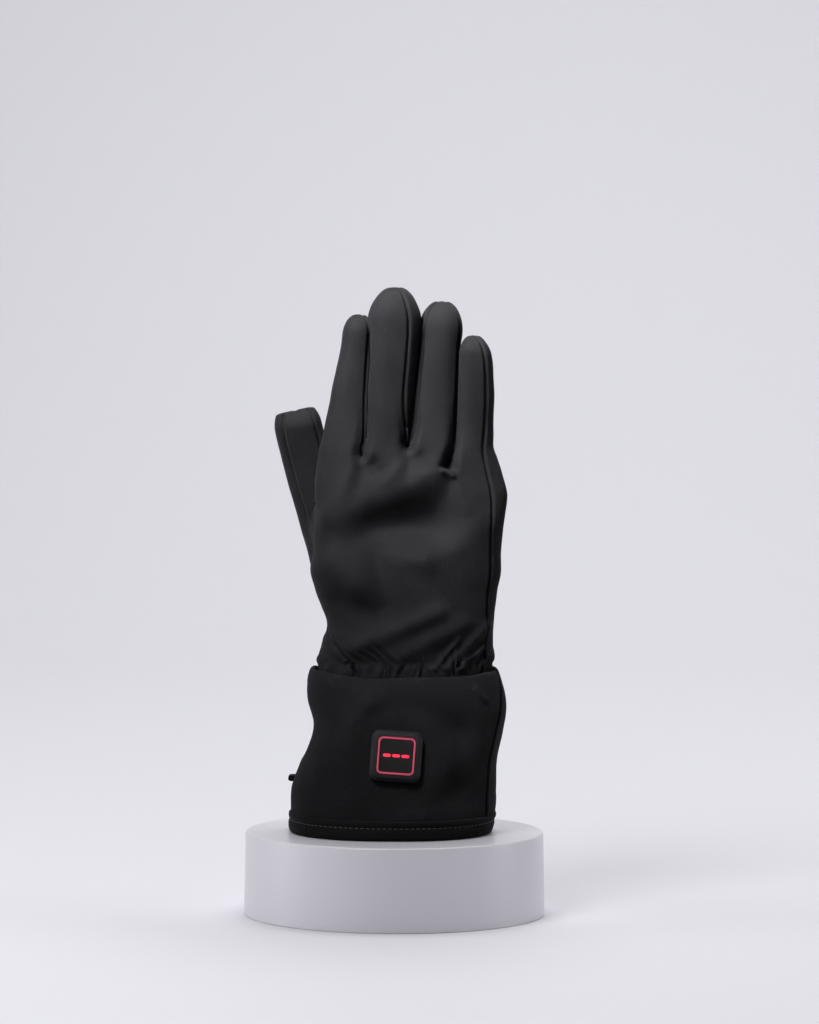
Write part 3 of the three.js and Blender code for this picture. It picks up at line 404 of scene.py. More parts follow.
# %% [markdown]
# ## The hand's pattern
# The palm part is wider at the knuckles than at the wrist, where elastic gathers it. Its front panel
# runs from the left seam to the right one and parts into four fingers. Each named list in the table is
# one measure at sixteen heights: shares of the palm's half width and depth for its sides, and degrees
# for its seams. A sculpted hand would look as good, but its seams couldn't be moved by a number.

# %% Sizes and sections of the palm
HAND_MIDDLE, HAND_HALF, HAND_DEPTH, PALM_LENGTH = 8.1, 51.5, 48, 118
HEM_Z, CUFF_HEIGHT = 44.8, 84.2
WRIST_Z = HEM_Z + CUFF_HEIGHT
PALM_POWER, FAN_FROM = 2.4, 0.55
FINE = 6
FINGERS = 4
FINGER_COLUMNS, STRIP_COLUMNS = 5 * FINE, 3 * FINE
FRONT = FINGERS * FINGER_COLUMNS
BACK_START = FRONT + STRIP_COLUMNS
BACK_END = BACK_START + FRONT
RING = BACK_END + STRIP_COLUMNS
palm_rows = {
    "at": [
        *(-0.119, -0.03, 0.035, 0.07, 0.107, 0.16, 0.224, 0.305),
        *(0.38, 0.465, 0.56, 0.65, 0.746, 0.84, 0.92, 1),
    ],
    "left": [
        *(-0.93, -0.955, -0.98, -0.99, -0.96, -0.92, -0.87, -0.925),
        *(-0.99, -1.045, -1.02, -1.01, -0.995, -1, -0.992, -0.963),
    ],
    "right": [
        *(0.815, 0.835, 0.87, 0.9, 0.88, 0.87, 0.87, 0.882),
        *(0.9, 0.94, 0.945, 0.955, 0.985, 1, 0.96, 0.903),
    ],
    "front": [1.04, 1.1, 1.12, 1.1, 1.1, 1.12, 1.12, 1.1, 1.07, 1.03, 0.98, 0.92, 0.84, 0.735, 0.645, 0.58],
    "back": [0.99, 1.04, 1.05, 1.05, 1.05, 1.05, 1.06, 1.08, 1.08, 1.06, 1.02, 0.95, 0.85, 0.745, 0.66, 0.6],
    "left_seam": [118, 118, 121, 126, 134, 152, 176, 184, 186, 187, 188, 188, 188, 188, 188, 188],
    "right_seam": [32, 32, 32, 31, 30, 28, 27, 28, 29, 30, 31, 33, 34, 36, 36, 35],
    "gather": [0, 0, 0.9, 1, 0.7, 0.35, 0.1, 0, 0, 0, 0, 0, 0, 0, 0, 0],
}
rows_between = [4, 12, 8, 8, 9, 8, 9, 10, 10, 10, 10, 10, 10, 9, 10]
LEFT_STRIP, RIGHT_STRIP = 38, 50
crotches = {"front": [0.314, 0.575, 0.803], "back": [0.135, 0.425, 0.69], "rise": [0.004, 0.047, -0.03]}
OUTER_RISE = -0.02
spans = zip(palm_rows["at"], palm_rows["at"][1:], rows_between)
fine_rows = np.concatenate([*(np.linspace(a, b, n, endpoint=False) for a, b, n in spans), [1.0]])
print("palm", len(fine_rows), "rows of", RING, "points")

# %% [markdown]
# ## The folds of the back
# The padding makes soft ridges and hollows: a broad hollow behind the knuckles, a bulge on the thumb's
# side, and long pulls towards the gathered wrist. Each is a row in a table: where it starts, where it
# ends, how high it is and how wide. So each can be moved on its own while comparing with the photograph.

# %% Places of the folds
palm_folds = {
    "knuckle_ridge": (-0.8, 0.7, 0.3, 0.93, 0.05, 0.19),
    "middle_hollow": (-0.36, 0.685, 0.22, 0.7, -0.14, 0.28),
    "hollow_lip": (-0.42, 0.575, 0.12, 0.53, 0.028, 0.15),
    "hollow_lip_right": (0.2, 0.54, 0.7, 0.66, 0.026, 0.18),
    "thumb_side_bulge": (-0.78, 0.5, -0.6, 0.42, 0.07, 0.23),
    "bulge_groove": (-0.36, 0.54, -0.26, 0.33, -0.035, 0.13),
    "under_bulge": (-0.7, 0.33, -0.25, 0.26, -0.03, 0.17),
    "low_ridge": (-0.6, 0.125, 0.3, 0.29, 0.035, 0.1),
    "low_groove": (-0.35, 0.15, 0.25, 0.25, -0.008, 0.09),
    "right_ridge": (-0.1, 0.09, 0.55, 0.24, 0.024, 0.1),
    "right_pull": (0.4, 0.05, 0.8, 0.23, 0.028, 0.06),
    "seam_pull_right": (0.51, 0.035, 0.75, 0.135, 0.022, 0.03),
    "long_pull_right": (0.25, 0.04, 0.5, 0.17, 0.018, 0.032),
    "short_pull_left": (-0.44, 0.06, -0.52, 0.15, 0.018, 0.06),
    "short_pull_middle": (-0.14, 0.06, -0.27, 0.15, 0.016, 0.06),
    "index_pull": (-0.53, 0.985, -0.86, 0.72, 0.026, 0.1),
    "index_dimple": (-0.385, 0.955, -0.36, 0.93, -0.04, 0.09),
    "middle_pull": (-0.04, 0.985, -0.25, 0.88, 0.018, 0.07),
    "middle_dimple": (0.1, 0.985, 0.12, 0.96, -0.028, 0.08),
    "little_crease": (0.33, 0.925, 0.43, 0.905, 0.028, 0.035),
    "little_groove": (0.31, 0.95, 0.45, 0.94, -0.03, 0.035),
    "little_pull": (0.41, 0.9, 0.58, 0.76, 0.02, 0.07),
}
print("folds", len(palm_folds), "and the highest is", max(palm_folds, key=lambda name: palm_folds[name][4]))

# %% [markdown]
# ## The palm part
# Each row of points runs once round the hand: over the back of the hand, round the little finger's
# side, over the palm and back by the thumb. Towards the knuckles the columns fan out to the places where
# the fingers part, so that each finger can later start from its own columns.

# %% Shape the palm part
def palm_section(at):
    return {
        "left": HAND_MIDDLE + HAND_HALF * read(palm_rows, at, "left"),
        "right": HAND_MIDDLE + HAND_HALF * read(palm_rows, at, "right"),
        "front": HAND_DEPTH / 2 * read(palm_rows, at, "front"),
        "back": HAND_DEPTH / 2 * read(palm_rows, at, "back"),
        "power": PALM_POWER,
        "y": 0,
    }


def panel_places(side, at):
    column = np.arange(FRONT + 1)
    finger = np.minimum(column // FINGER_COLUMNS, FINGERS - 1)
    part = crowd(column / FINGER_COLUMNS - finger)
    fan = ease(2 * at - 1)
    even = np.arange(1, FINGERS) / FINGERS
    ends = np.concatenate([[0], mix(even, np.array(crotches[side]), fan), [1]])
    rises = np.array([OUTER_RISE, *crotches["rise"], OUTER_RISE]) * PALM_LENGTH
    return mix(ends[finger], ends[finger + 1], part), mix(rises[finger], rises[finger + 1], ease(part))


def palm_row(at):
    section = palm_section(at)
    left, right = read(palm_rows, at, "left_seam"), read(palm_rows, at, "right_seam")
    palm_right, palm_left = right - RIGHT_STRIP, left + LEFT_STRIP - 360
    front, front_rise = panel_places("front", at)
    back, back_rise = panel_places("back", at)
    strip = crowd(np.arange(STRIP_COLUMNS) / STRIP_COLUMNS)
    angle = np.concatenate([
        share_angle(section, left, right, front[:-1]),
        mix(right, palm_right, strip),
        share_angle(section, palm_left, palm_right, back[:0:-1]),
        mix(palm_left, left - 360, strip),
    ])
    flat = np.full(STRIP_COLUMNS, OUTER_RISE * PALM_LENGTH)
    rise = np.concatenate([front_rise[:-1], flat, back_rise[:0:-1], flat])
    z = WRIST_Z + at * PALM_LENGTH + rise * ease((at - FAN_FROM) / (1 - FAN_FROM))
    return on_section(section, angle, z), angle


def grid_normals(grid):
    across = np.roll(grid, -1, axis=1) - np.roll(grid, 1, axis=1)
    up = np.gradient(grid, axis=0)
    normal = np.cross(across, up)
    return normal / np.linalg.norm(normal, axis=-1, keepdims=True)


rows_and_angles = [palm_row(at) for at in fine_rows]
palm_grid = np.stack([row for row, _ in rows_and_angles])
palm_angles = np.stack([angle for _, angle in rows_and_angles])
print("palm grid", palm_grid.shape)

# %% [markdown]
# ## Relief of the palm part
# The gathered wrist is drawn in by elastic. Above the pinch line its small ridges lean outwards like a
# fan, and below it they lean the other way, which gives the zig-zag of the photograph. Folds, gathers
# and the dimples between the fingers are added up as one height, and the surface is moved by it once,
# along its normals. A painted displacement picture could do this too, but it would have to be painted
# again after each change of the pattern.

# %% Fold and gather the palm part
PINCH_Z = WRIST_Z + 7.2
GATHER_DEPTH = 1.5
PLEAT_STEP = 1.05
PLEAT_WIDE = 0.3
PLEAT_GAIN = 1.35
FOLD_GAIN = 1.45
CROTCH_DENT, CROTCH_WIDE, CROTCH_FADE = 4.0, 4.2, 15.0
DIMPLE_DEPTH, DIMPLE_WIDE = 3.8, 2.8
DIMPLE_RIM, DIMPLE_RIM_AT = 0.12, 1.9
PINCH_DEPTH, PINCH_WIDE = 0.4, 2.2
FACING_GAIN = 1.6


def pleat_heights(column, z, seed=7):
    """Small ridges above and below the elastic, each with its own place, height and length."""
    dice = np.random.default_rng(seed)
    total = np.zeros_like(z)
    centre = 0.3
    while centre < RING / FINE:
        ridge, reach = dice.uniform(0.5, 1.5), dice.uniform(5, 15)
        lean = np.interp(centre, [0, 9, 20, 33, 46], [-0.16, -0.05, 0.16, 0.0, -0.16])
        above = z - PINCH_Z
        slide = np.where(above > 0, lean * above, -0.15 * above * np.sign(lean + 0.02))
        gap = np.abs(column - centre - slide)
        gap = np.minimum(gap, RING / FINE - gap)
        fade = np.where(above > 0, np.exp(-((above / reach) ** 2)), 1.0)
        total += ridge * fade * np.exp(-((gap / PLEAT_WIDE) ** 2))
        centre += PLEAT_STEP * dice.uniform(0.7, 1.35)
    return total


crotch_z = WRIST_Z + (1 + np.array(crotches["rise"])) * PALM_LENGTH
crotch_x = {
    "front": palm_grid[-1, [FINGER_COLUMNS * k for k in (1, 2, 3)], 0],
    "back": palm_grid[-1, [BACK_END - FINGER_COLUMNS * k for k in (1, 2, 3)], 0],
}
x, z = palm_grid[..., 0], palm_grid[..., 2]
facing = ease(np.sin(np.radians(palm_angles)) * FACING_GAIN)
folds = fold_heights(palm_folds, x - HAND_MIDDLE, z - WRIST_Z, HAND_HALF, PALM_LENGTH, HAND_DEPTH)
relief = facing * folds * FOLD_GAIN
gather = read(palm_rows, fine_rows, "gather")[:, None]
column = np.broadcast_to(np.arange(RING) / FINE, z.shape)
relief += gather * (PLEAT_GAIN * pleat_heights(column, z) - GATHER_DEPTH)
relief -= PINCH_DEPTH * np.exp(-(((z - PINCH_Z) / PINCH_WIDE) ** 2))
for side, columns in (("front", slice(0, FRONT + 1)), ("back", slice(BACK_START, BACK_END + 1))):
    for place, height in zip(crotch_x[side], crotch_z):
        across, below = (x[:, columns] - place) / CROTCH_WIDE, (height - z[:, columns]) / CROTCH_FADE
        relief[:, columns] -= CROTCH_DENT * np.exp(-(across**2) - below**2)
        far = np.hypot(x[:, columns] - place, height - z[:, columns]) / DIMPLE_WIDE
        rim = DIMPLE_RIM * np.exp(-((far - DIMPLE_RIM_AT) ** 2) * 2)
        relief[:, columns] += DIMPLE_DEPTH * (rim - np.exp(-(far**2)))
palm_grid = palm_grid + relief[..., None] * grid_normals(palm_grid)
print("relief from", relief.min().round(2), "to", relief.max().round(2), "mm")

# %% [markdown]
# ## One surface, many panels
# All of the hand's panels are cut from one surface, so that neighbours meet exactly at their seams. The
# surface keeps its points in one list, and each panel keeps the grids of point numbers that it covers.

# %% A surface that remembers its panels
class HandSurface:
    def __init__(self):
        self.points = np.zeros((0, 3))
        self.panels = {}

    def add(self, points):
        start = len(self.points)
        flat = np.asarray(points).reshape(-1, 3)
        self.points = np.concatenate([self.points, flat])
        return np.arange(start, start + len(flat)).reshape(np.shape(points)[:-1])

    def cover(self, panel, ids, u, v, keep=None):
        quads = np.stack([ids[:-1, :-1], ids[:-1, 1:], ids[1:, 1:], ids[1:, :-1]], -1)
        spots = np.stack(np.broadcast_arrays(u, v), -1)
        corners = np.stack([spots[:-1, :-1], spots[:-1, 1:], spots[1:, 1:], spots[1:, :-1]], -2)
        if keep is None:
            keep = np.ones(quads.shape[:2], bool)
        self.panels.setdefault(panel, []).append((quads[keep], corners[keep]))


def closed(ids):
    return np.concatenate([ids, ids[:, :1]], axis=1)


def ring_lengths(points):
    steps = np.linalg.norm(np.roll(points, -1, axis=0) - points, axis=1)
    return np.concatenate([[0], np.cumsum(steps)])


hand = HandSurface()
palm_ids = hand.add(palm_grid)
THUMB_ROW_FROM, THUMB_ROW_TO = sum(rows_between[:7]), sum(rows_between[:12])
THUMB_FROM, THUMB_TO = BACK_END - 4 * FINE, BACK_END + 2 * FINE
around = ring_lengths(palm_grid[len(palm_grid) // 2])
upwards = (WRIST_Z + fine_rows * PALM_LENGTH)[:, None]
wrapped = closed(palm_ids)
hand.cover("hand_back_panel", wrapped[:, : FRONT + 1], around[: FRONT + 1], upwards)
open_rows = np.arange(len(fine_rows) - 1)[:, None]
open_columns = np.arange(FRONT, RING)[None, :]
inside = (open_rows >= THUMB_ROW_FROM) & (open_rows < THUMB_ROW_TO)
inside = inside & (open_columns >= THUMB_FROM) & (open_columns < THUMB_TO)
hand.cover("hand_palm_panel", wrapped[:, FRONT:], around[FRONT:], upwards, keep=~inside)
print("thumb opening", int(inside.sum()), "faces")

# %% [markdown]
# ## The fingers
# A finger of this glove is four strips: the back, the palm side and a narrow side strip, called a
# fourchette, on each side. The fingers stand closed, so their sides touch. Each ring of a finger starts
# as the ring of its root and turns into its own rounded section, and the tip is a dome whose front and
# back are sewn together over the top.

# %% Sections of the fingers
FINGER_LENGTH, FINGER_WIDTH, FINGER_DEPTH = 87, 26, 24
TOUCH = 0.45
finger_table = {
    "length": [0.87, 1, 0.937, 0.77],
    "depth": [0.9, 1, 0.95, 0.8],
    "left_seam": [190, 166, 136, 168],
    "right_seam": [46, 60, 31, 60],
    "left_strip": [38, 76, 76, 76],
    "right_strip": [76, 76, 76, 70],
}
finger_rows = [dict(zip(finger_table, row)) for row in zip(*finger_table.values())]
finger_sections = [
    {
        "at": [0, 0.13, 0.3, 0.5, 0.75, 1],
        "middle": [-0.744, -0.7, -0.663, -0.624, -0.57, -0.53],
        "width": [0.87, 0.9, 0.84, 0.765, 0.69, 0.66],
        "sway": [0.1, 0.16, 0.24, 0.32, 0.42, 0.46],
    },
    {
        "at": [0, 0.15, 0.4, 0.62, 0.8, 1],
        "middle": [-0.24, -0.215, -0.211, -0.198, -0.186, -0.172],
        "width": [0.8, 0.83, 0.91, 1.0, 1.04, 1.0],
        "sway": [-0.04, -0.08, -0.13, -0.17, -0.2, -0.22],
    },
    {
        "at": [0, 0.19, 0.42, 0.64, 0.8, 1],
        "middle": [0.21, 0.234, 0.257, 0.287, 0.308, 0.325],
        "width": [0.84, 0.865, 0.865, 0.84, 0.86, 0.82],
        "sway": [0, 0, 0.01, 0.02, 0.03, 0.03],
    },
    {
        "at": [0, 0.28, 0.54, 0.79, 1],
        "middle": [0.645, 0.665, 0.678, 0.668, 0.638],
        "width": [0.8, 0.765, 0.73, 0.68, 0.64],
        "sway": [0.04, -0.02, -0.13, -0.22, -0.26],
    },
]
ROOT_BLEND, ROOT_FADE, TIP_ROUNDNESS, TIP_SEAM, TIP_FADE = 32, 9, 0.7, 0.045, 12
RING_FROM, RING_STEP, TIP_RINGS, TIP_TURN = 1.1, 1.25, 16, 86
TUBE_POWER = 2.3
FOURCHETTES = ["fourchette_index_middle", "fourchette_middle_ring", "fourchette_ring_little"]
top = palm_ids[-1]
crotch_lines = []
for k in range(3):
    front, back = top[(k + 1) * FINGER_COLUMNS], top[BACK_END - (k + 1) * FINGER_COLUMNS]
    parts = crowd(np.arange(1, STRIP_COLUMNS) / STRIP_COLUMNS)[:, None]
    between = hand.add(mix(hand.points[front], hand.points[back], parts))
    crotch_lines.append(np.concatenate([[front], between, [back]]))
print("crotch heights", hand.points[[line[0] for line in crotch_lines], 2].round(1))

# %% [markdown]
# ## Roots and sides of the fingers
# A finger starts on the ring of points round its own opening in the palm part. Its sides come from its
# own table, but where a neighbour is as tall, both meet on one line between them, because the fingers of
# the photograph are pressed together.

# %% Find each finger's root and sides
def closing_ids(count, front_from, back_from, seam):
    last = len(seam) - 1
    ring = np.full(count, seam[0])
    ring[front_from + last : back_from + 1] = seam[last]
    ring[np.arange(front_from, front_from + last + 1) % count] = seam
    ring[np.arange(back_from, back_from + last + 1) % count] = seam[::-1]
    return ring


def finger_base(index):
    right = crotch_lines[index] if index < 3 else top[FRONT : BACK_START + 1]
    left = crotch_lines[index - 1][::-1] if index > 0 else np.append(top[BACK_END:], top[0])
    front = top[index * FINGER_COLUMNS : (index + 1) * FINGER_COLUMNS]
    palm_from = BACK_END - (index + 1) * FINGER_COLUMNS
    palm = top[palm_from : palm_from + FINGER_COLUMNS]
    return np.concatenate([front, right[:-1], palm, left[:-1]])


def finger_angles(finger):
    def spread(start, end, columns):
        return mix(start, end, crowd(np.arange(columns) / columns))

    left, right = finger["left_seam"], finger["right_seam"]
    palm_right, palm_left = right - finger["right_strip"], left + finger["left_strip"] - 360
    return np.concatenate([
        spread(left, right, FINGER_COLUMNS),
        spread(right, palm_right, STRIP_COLUMNS),
        spread(palm_right, palm_left, FINGER_COLUMNS),
        spread(palm_left, left - 360, STRIP_COLUMNS),
    ])


roots = [hand.points[finger_base(index)].mean(axis=0) for index in range(FINGERS)]


def own_edges(index, z):
    """Left and right side of a finger by its own table, and its height there."""
    length = finger_rows[index]["length"] * FINGER_LENGTH
    at = np.clip((z - roots[index][2]) / length, 0, 1)
    middle = HAND_MIDDLE + HAND_HALF * read(finger_sections[index], at, "middle")
    half = FINGER_WIDTH / 2 * read(finger_sections[index], at, "width")
    return middle - half, middle + half


def finger_edges(index, z):
    """The sides of a finger that lies against its neighbours without a gap."""
    left, right = own_edges(index, z)
    if index > 0:
        end = roots[index - 1][2] + finger_rows[index - 1]["length"] * FINGER_LENGTH
        meet = (left + own_edges(index - 1, z)[1]) / 2 - TOUCH
        left = mix(left, meet, ease((end - z) / TIP_FADE))
    if index < 3:
        end = roots[index + 1][2] + finger_rows[index + 1]["length"] * FINGER_LENGTH
        meet = (right + own_edges(index + 1, z)[0]) / 2 + TOUCH
        right = mix(right, meet, ease((end - z) / TIP_FADE))
    return left, right


print("roots", [root.round(1).tolist() for root in roots])

# %% [markdown]
# ## From the palm to the fingertips
# Each finger is a stack of rings. The lowest keep the shape of the opening that the palm leaves, and
# further up they turn into the finger's own rounded section. A separate tube pushed into the palm would
# be simpler, but its root would show a hard edge where the real cloth runs on in one piece.

# %% Grow the fingers from the palm
def add_finger(index):
    finger, sections = finger_rows[index], finger_sections[index]
    base, angles = finger_base(index), finger_angles(finger)
    base_points, root = hand.points[base], roots[index]
    length = finger["length"] * FINGER_LENGTH
    base_left, base_right = base_points[:, 0].min(), base_points[:, 0].max()

    def sway(up):
        return FINGER_DEPTH * read(sections, up / length, "sway")

    def ring(up, taper):
        left, right = finger_edges(index, root[2] + up)
        middle, wide = (left + right) / 2, mix(FINGER_WIDTH * TIP_SEAM, (right - left) / 2, taper)
        deep = FINGER_DEPTH / 2 * finger["depth"] * taper
        section = {"left": middle - wide, "right": middle + wide, "front": deep, "back": deep}
        return on_section({**section, "y": sway(up), "power": TUBE_POWER}, angles, root[2] + up)

    def drawn(up):
        left, right = finger_edges(index, root[2] + up)
        near = ease(up / ROOT_FADE)
        left, right = mix(base_left, left, near), mix(base_right, right, near)
        share = (base_points[:, 0] - base_left) / (base_right - base_left)
        return np.stack([mix(left, right, share), base_points[:, 1], base_points[:, 2] + up], -1)

    tip_left, tip_right = finger_edges(index, root[2] + length)
    rounding = (tip_right - tip_left) * TIP_ROUNDNESS
    rings = []
    for up in np.arange(RING_FROM, length - rounding, RING_STEP):
        part = min(up / ROOT_BLEND, 1)
        rings.append(mix(drawn(up), ring(up, 1), 1 - (1 - part) ** 2))
    for bow in np.radians(np.linspace(0, TIP_TURN, TIP_RINGS)):
        rings.append(ring(length - rounding * (1 - math.sin(bow)), math.cos(bow)))
    tip = np.array([(tip_left + tip_right) / 2, sway(length), root[2] + length])
    tip = tip + np.outer(np.linspace(-1, 1, FINGER_COLUMNS + 1) * FINGER_WIDTH * TIP_SEAM, [1, 0, 0])
    ring_ids = hand.add(np.stack(rings))
    back_from = FINGER_COLUMNS + STRIP_COLUMNS
    end = closing_ids(len(base), 0, back_from, hand.add(tip))
    ids = closed(np.concatenate([base[None], ring_ids, end[None]]))
    u = ring_lengths(rings[len(rings) // 2])
    v = hand.points[ids][..., 2].mean(axis=1)[:, None]
    right = FOURCHETTES[index] if index < 3 else "hand_palm_panel"
    left = FOURCHETTES[index - 1] if index > 0 else "hand_palm_panel"
    stops = [0, FINGER_COLUMNS, back_from, back_from + FINGER_COLUMNS, len(base)]
    for panel, a, b in zip(("hand_back_panel", right, "hand_palm_panel", left), stops, stops[1:]):
        hand.cover(panel, ids[:, a : b + 1], u[a : b + 1], v)
    return ids.shape


print("finger rings", [add_finger(index) for index in range(FINGERS)])

# %% [markdown]
# ## The thumb
# The thumb leaves the palm panel through an opening and points up beside the hand. It is sewn from
# three long strips, and its end is squarer than the fingers.

# %% Grow the thumb
THUMB_LENGTH, THUMB_WIDTH, THUMB_DEPTH, THUMB_BEHIND = 79.6, 25.9, 21, 29
THUMB_SEAM, THUMB_ROUNDNESS, THUMB_BLEND = 0.34, 0.36, 0.5
THUMB_RING_FROM, THUMB_RING_STEP, THUMB_TIP_RINGS, THUMB_TIP_TURN = 0.014, 0.0145, 12, 84
thumb_line = {
    "across": [0.092, 0.018, -0.052, -0.112],
    "behind": [0.93, 1, 0.98, 0.9],
    "up": [0.17, 0.36, 0.66, 1],
}


def smooth_rail(points, per_span=80):
    """A smooth line through points, with its running length."""
    ends = [2 * points[0] - points[1], *points, 2 * points[-1] - points[-2]]
    line = []
    for a, b, c, d in zip(ends, ends[1:], ends[2:], ends[3:]):
        ab, bc, cd = (math.sqrt(np.linalg.norm(q - p)) for p, q in ((a, b), (b, c), (c, d)))
        leave = ((b - a) / ab - (c - a) / (ab + bc) + (c - b) / bc) * bc
        arrive = ((c - b) / bc - (d - b) / (bc + cd) + (d - c) / cd) * bc
        t = np.linspace(0, 1, per_span, endpoint=False)[:, None]
        line.append(cubic(t, b, leave, c, arrive))
    line = np.concatenate([*line, [points[-1]]])
    return line, np.concatenate([[0], np.cumsum(np.linalg.norm(np.diff(line, axis=0), axis=1))])


wide, high = THUMB_TO - THUMB_FROM, THUMB_ROW_TO - THUMB_ROW_FROM
opening = np.concatenate([
    palm_ids[THUMB_ROW_FROM, np.arange(THUMB_FROM, THUMB_TO)],
    palm_ids[np.arange(THUMB_ROW_FROM, THUMB_ROW_TO), THUMB_TO],
    palm_ids[THUMB_ROW_TO, np.arange(THUMB_TO, THUMB_FROM, -1)],
    palm_ids[np.arange(THUMB_ROW_TO, THUMB_ROW_FROM, -1), THUMB_FROM],
])
corners = np.cumsum([0, wide, high, wide, high])
thumb_angles = 270 - np.interp(np.arange(len(opening)), corners, [0, 90, 180, 270, 360])
opening_points = hand.points[opening]
thumb_root = opening_points.mean(axis=0)
hand_left, hand_wide = HAND_MIDDLE - HAND_HALF, 2 * HAND_HALF
stops = [
    np.array([hand_left + across * hand_wide, behind * THUMB_BEHIND, thumb_root[2] + up * THUMB_LENGTH])
    for across, behind, up in zip(*thumb_line.values())
]
rail, rail_run = smooth_rail([thumb_root, *stops])
print("thumb line", rail_run[-1].round(1), "mm long")

# %% [markdown]
# ## Rings along the thumb's line
# The thumb leans and bends, so its rings stand square to its own line and not level. A frame goes along
# the line: the place, the direction to the side and the direction to the front.

# %% Stack the thumb's rings
def thumb_frame(share):
    def place(run):
        return np.array([np.interp(run, rail_run, rail[:, k]) for k in range(3)])

    run = share * rail_run[-1]
    along = place(min(run + 1, rail_run[-1])) - place(max(run - 1, 0))
    along /= np.linalg.norm(along)
    side = np.array([1.0, 0, 0]) - along * along[0]
    side /= np.linalg.norm(side)
    return place(run), side, np.cross(side, along)


def thumb_ring(share, taper):
    centre, side, front = thumb_frame(share)
    half = mix(THUMB_WIDTH * THUMB_SEAM, THUMB_WIDTH / 2, taper)
    deep = THUMB_DEPTH / 2 * taper
    section = {"left": -half, "right": half, "front": deep, "back": deep, "y": 0, "power": TUBE_POWER}
    flat = on_section(section, thumb_angles)
    return centre + flat[:, :1] * side - flat[:, 1:2] * front


rounding = THUMB_WIDTH * THUMB_ROUNDNESS / rail_run[-1]
thumb_rings = []
for share in np.arange(THUMB_RING_FROM, 1 - rounding, THUMB_RING_STEP):
    drawn = opening_points + thumb_frame(share)[0] - thumb_root
    thumb_rings.append(mix(drawn, thumb_ring(share, 1), ease(share / THUMB_BLEND)))
for bow in np.radians(np.linspace(0, THUMB_TIP_TURN, THUMB_TIP_RINGS)):
    thumb_rings.append(thumb_ring(1 - rounding * (1 - math.sin(bow)), math.cos(bow)))
face_from, face_to = wide + round(0.6 * high), wide + high + wide // 2
back_from = wide + high + wide + round(0.6 * high)
centre, side, _ = thumb_frame(1)
seam_line = centre + np.outer(np.linspace(-1, 1, face_to - face_from + 1) * THUMB_WIDTH * THUMB_SEAM, side)
thumb_ids = hand.add(np.stack(thumb_rings))
thumb_end = closing_ids(len(opening), face_from, back_from, hand.add(seam_line))
thumb_all = closed(np.concatenate([opening[None], thumb_ids, thumb_end[None]]))
u = ring_lengths(thumb_rings[len(thumb_rings) // 2])
v = hand.points[thumb_all][..., 2].mean(axis=1)[:, None]
strips = {
    "thumb_outer_strip": (0, face_from),
    "thumb_face_strip": (face_from, face_to),
    "thumb_inner_strip": (face_to, len(opening)),
}
for panel, (a, b) in strips.items():
    hand.cover(panel, thumb_all[:, a : b + 1], u[a : b + 1], v)
print("thumb", len(opening), "points round,", len(thumb_rings), "rings; all points", len(hand.points))

# %% [markdown]
# ## Seams and padding
# Where two panels meet, their edges are turned in and sewn, so the cloth dives into a narrow groove
# with a small lip beside it. The distance of every point from its panel's edge gives that profile.
# Fine uneven swelling of the padding comes from smooth noise. Both move the cloth along its normal.

# %% Press the seams into the cloth
SEAM_DEPTH, SEAM_WIDE = 1.25, 0.8
LIP_HEIGHT, LIP_FROM_SEAM, LIP_WIDE = 0.22, 1.9, 1.0
PADDING_LUMPS = ((26.0, 0.55), (11.0, 0.28), (5.0, 0.1))


def clean_faces(surface):
    """Every panel's faces as loops without repeated points, with the UVs of their corners."""
    panels = {}
    for name, grids in surface.panels.items():
        faces, uvs = [], []
        for quads, corners in grids:
            for quad, spots in zip(quads.reshape(-1, 4).tolist(), corners.reshape(-1, 4, 2).tolist()):
                keep = [k for k in range(4) if quad[k] != quad[(k + 1) % 4]]
                if len(keep) > 2:
                    faces.append([quad[k] for k in keep])
                    uvs.append([spots[k] for k in keep])
        panels[name] = (faces, uvs)
    return panels


def point_normals(points, faces):
    fans = np.array([[f[0], f[k], f[k + 1]] for f in faces for k in range(1, len(f) - 1)])
    a, b, c = (points[fans[:, k]] for k in range(3))
    area = np.cross(b - a, c - a)
    total = np.zeros_like(points)
    for k in range(3):
        np.add.at(total, fans[:, k], area)
    return total / np.maximum(np.linalg.norm(total, axis=1, keepdims=True), 1e-9)


def border_edges(faces):
    open_edges = {}
    for face in faces:
        for a, b in zip(face, face[1:] + face[:1]):
            if open_edges.pop((b, a), None) is None:
                open_edges[(a, b)] = True
    return list(open_edges)


def distances(points, targets):
    tree = kdtree.KDTree(len(targets))
    for k, target in enumerate(targets):
        tree.insert(target, k)
    tree.balance()
    return np.array([tree.find(point)[2] for point in points])


def lumps(points, waves):
    total = np.zeros(len(points))
    for length, height in waves:
        total += height * np.array([noise.noise(Vector(p / length)) for p in points])
    return total


panels = clean_faces(hand)
all_faces = [face for faces, _ in panels.values() for face in faces]
skin_normals = point_normals(hand.points, all_faces)
move = lumps(hand.points, PADDING_LUMPS)
seam_move = np.zeros(len(hand.points))
borders = {}
for name, (faces, _) in panels.items():
    ids = np.unique([i for face in faces for i in face])
    borders[name] = border_edges(faces)
    edge = np.unique(borders[name])
    away = distances(hand.points[ids], hand.points[edge])
    groove = -SEAM_DEPTH * np.exp(-((away / SEAM_WIDE) ** 2))
    lip = LIP_HEIGHT * np.exp(-(((away - LIP_FROM_SEAM) / LIP_WIDE) ** 2)) * (away > 0)
    seam_move[ids] = np.where(away > 0, groove + lip, -SEAM_DEPTH)
skin = hand.points + (move + seam_move)[:, None] * skin_normals
print("seam edges", {name: len(edges) for name, edges in borders.items()})

# %% [markdown]
# ## From surface to cloth
# A panel becomes a closed piece of cloth: its outer face, an inner face one wall further in, and a rim
# between them. The rim's edges are marked sharp, so the shading stops cleanly at the seam.

# %% Cut the panels out as pieces of cloth
CLOTH_WALL = 1.8


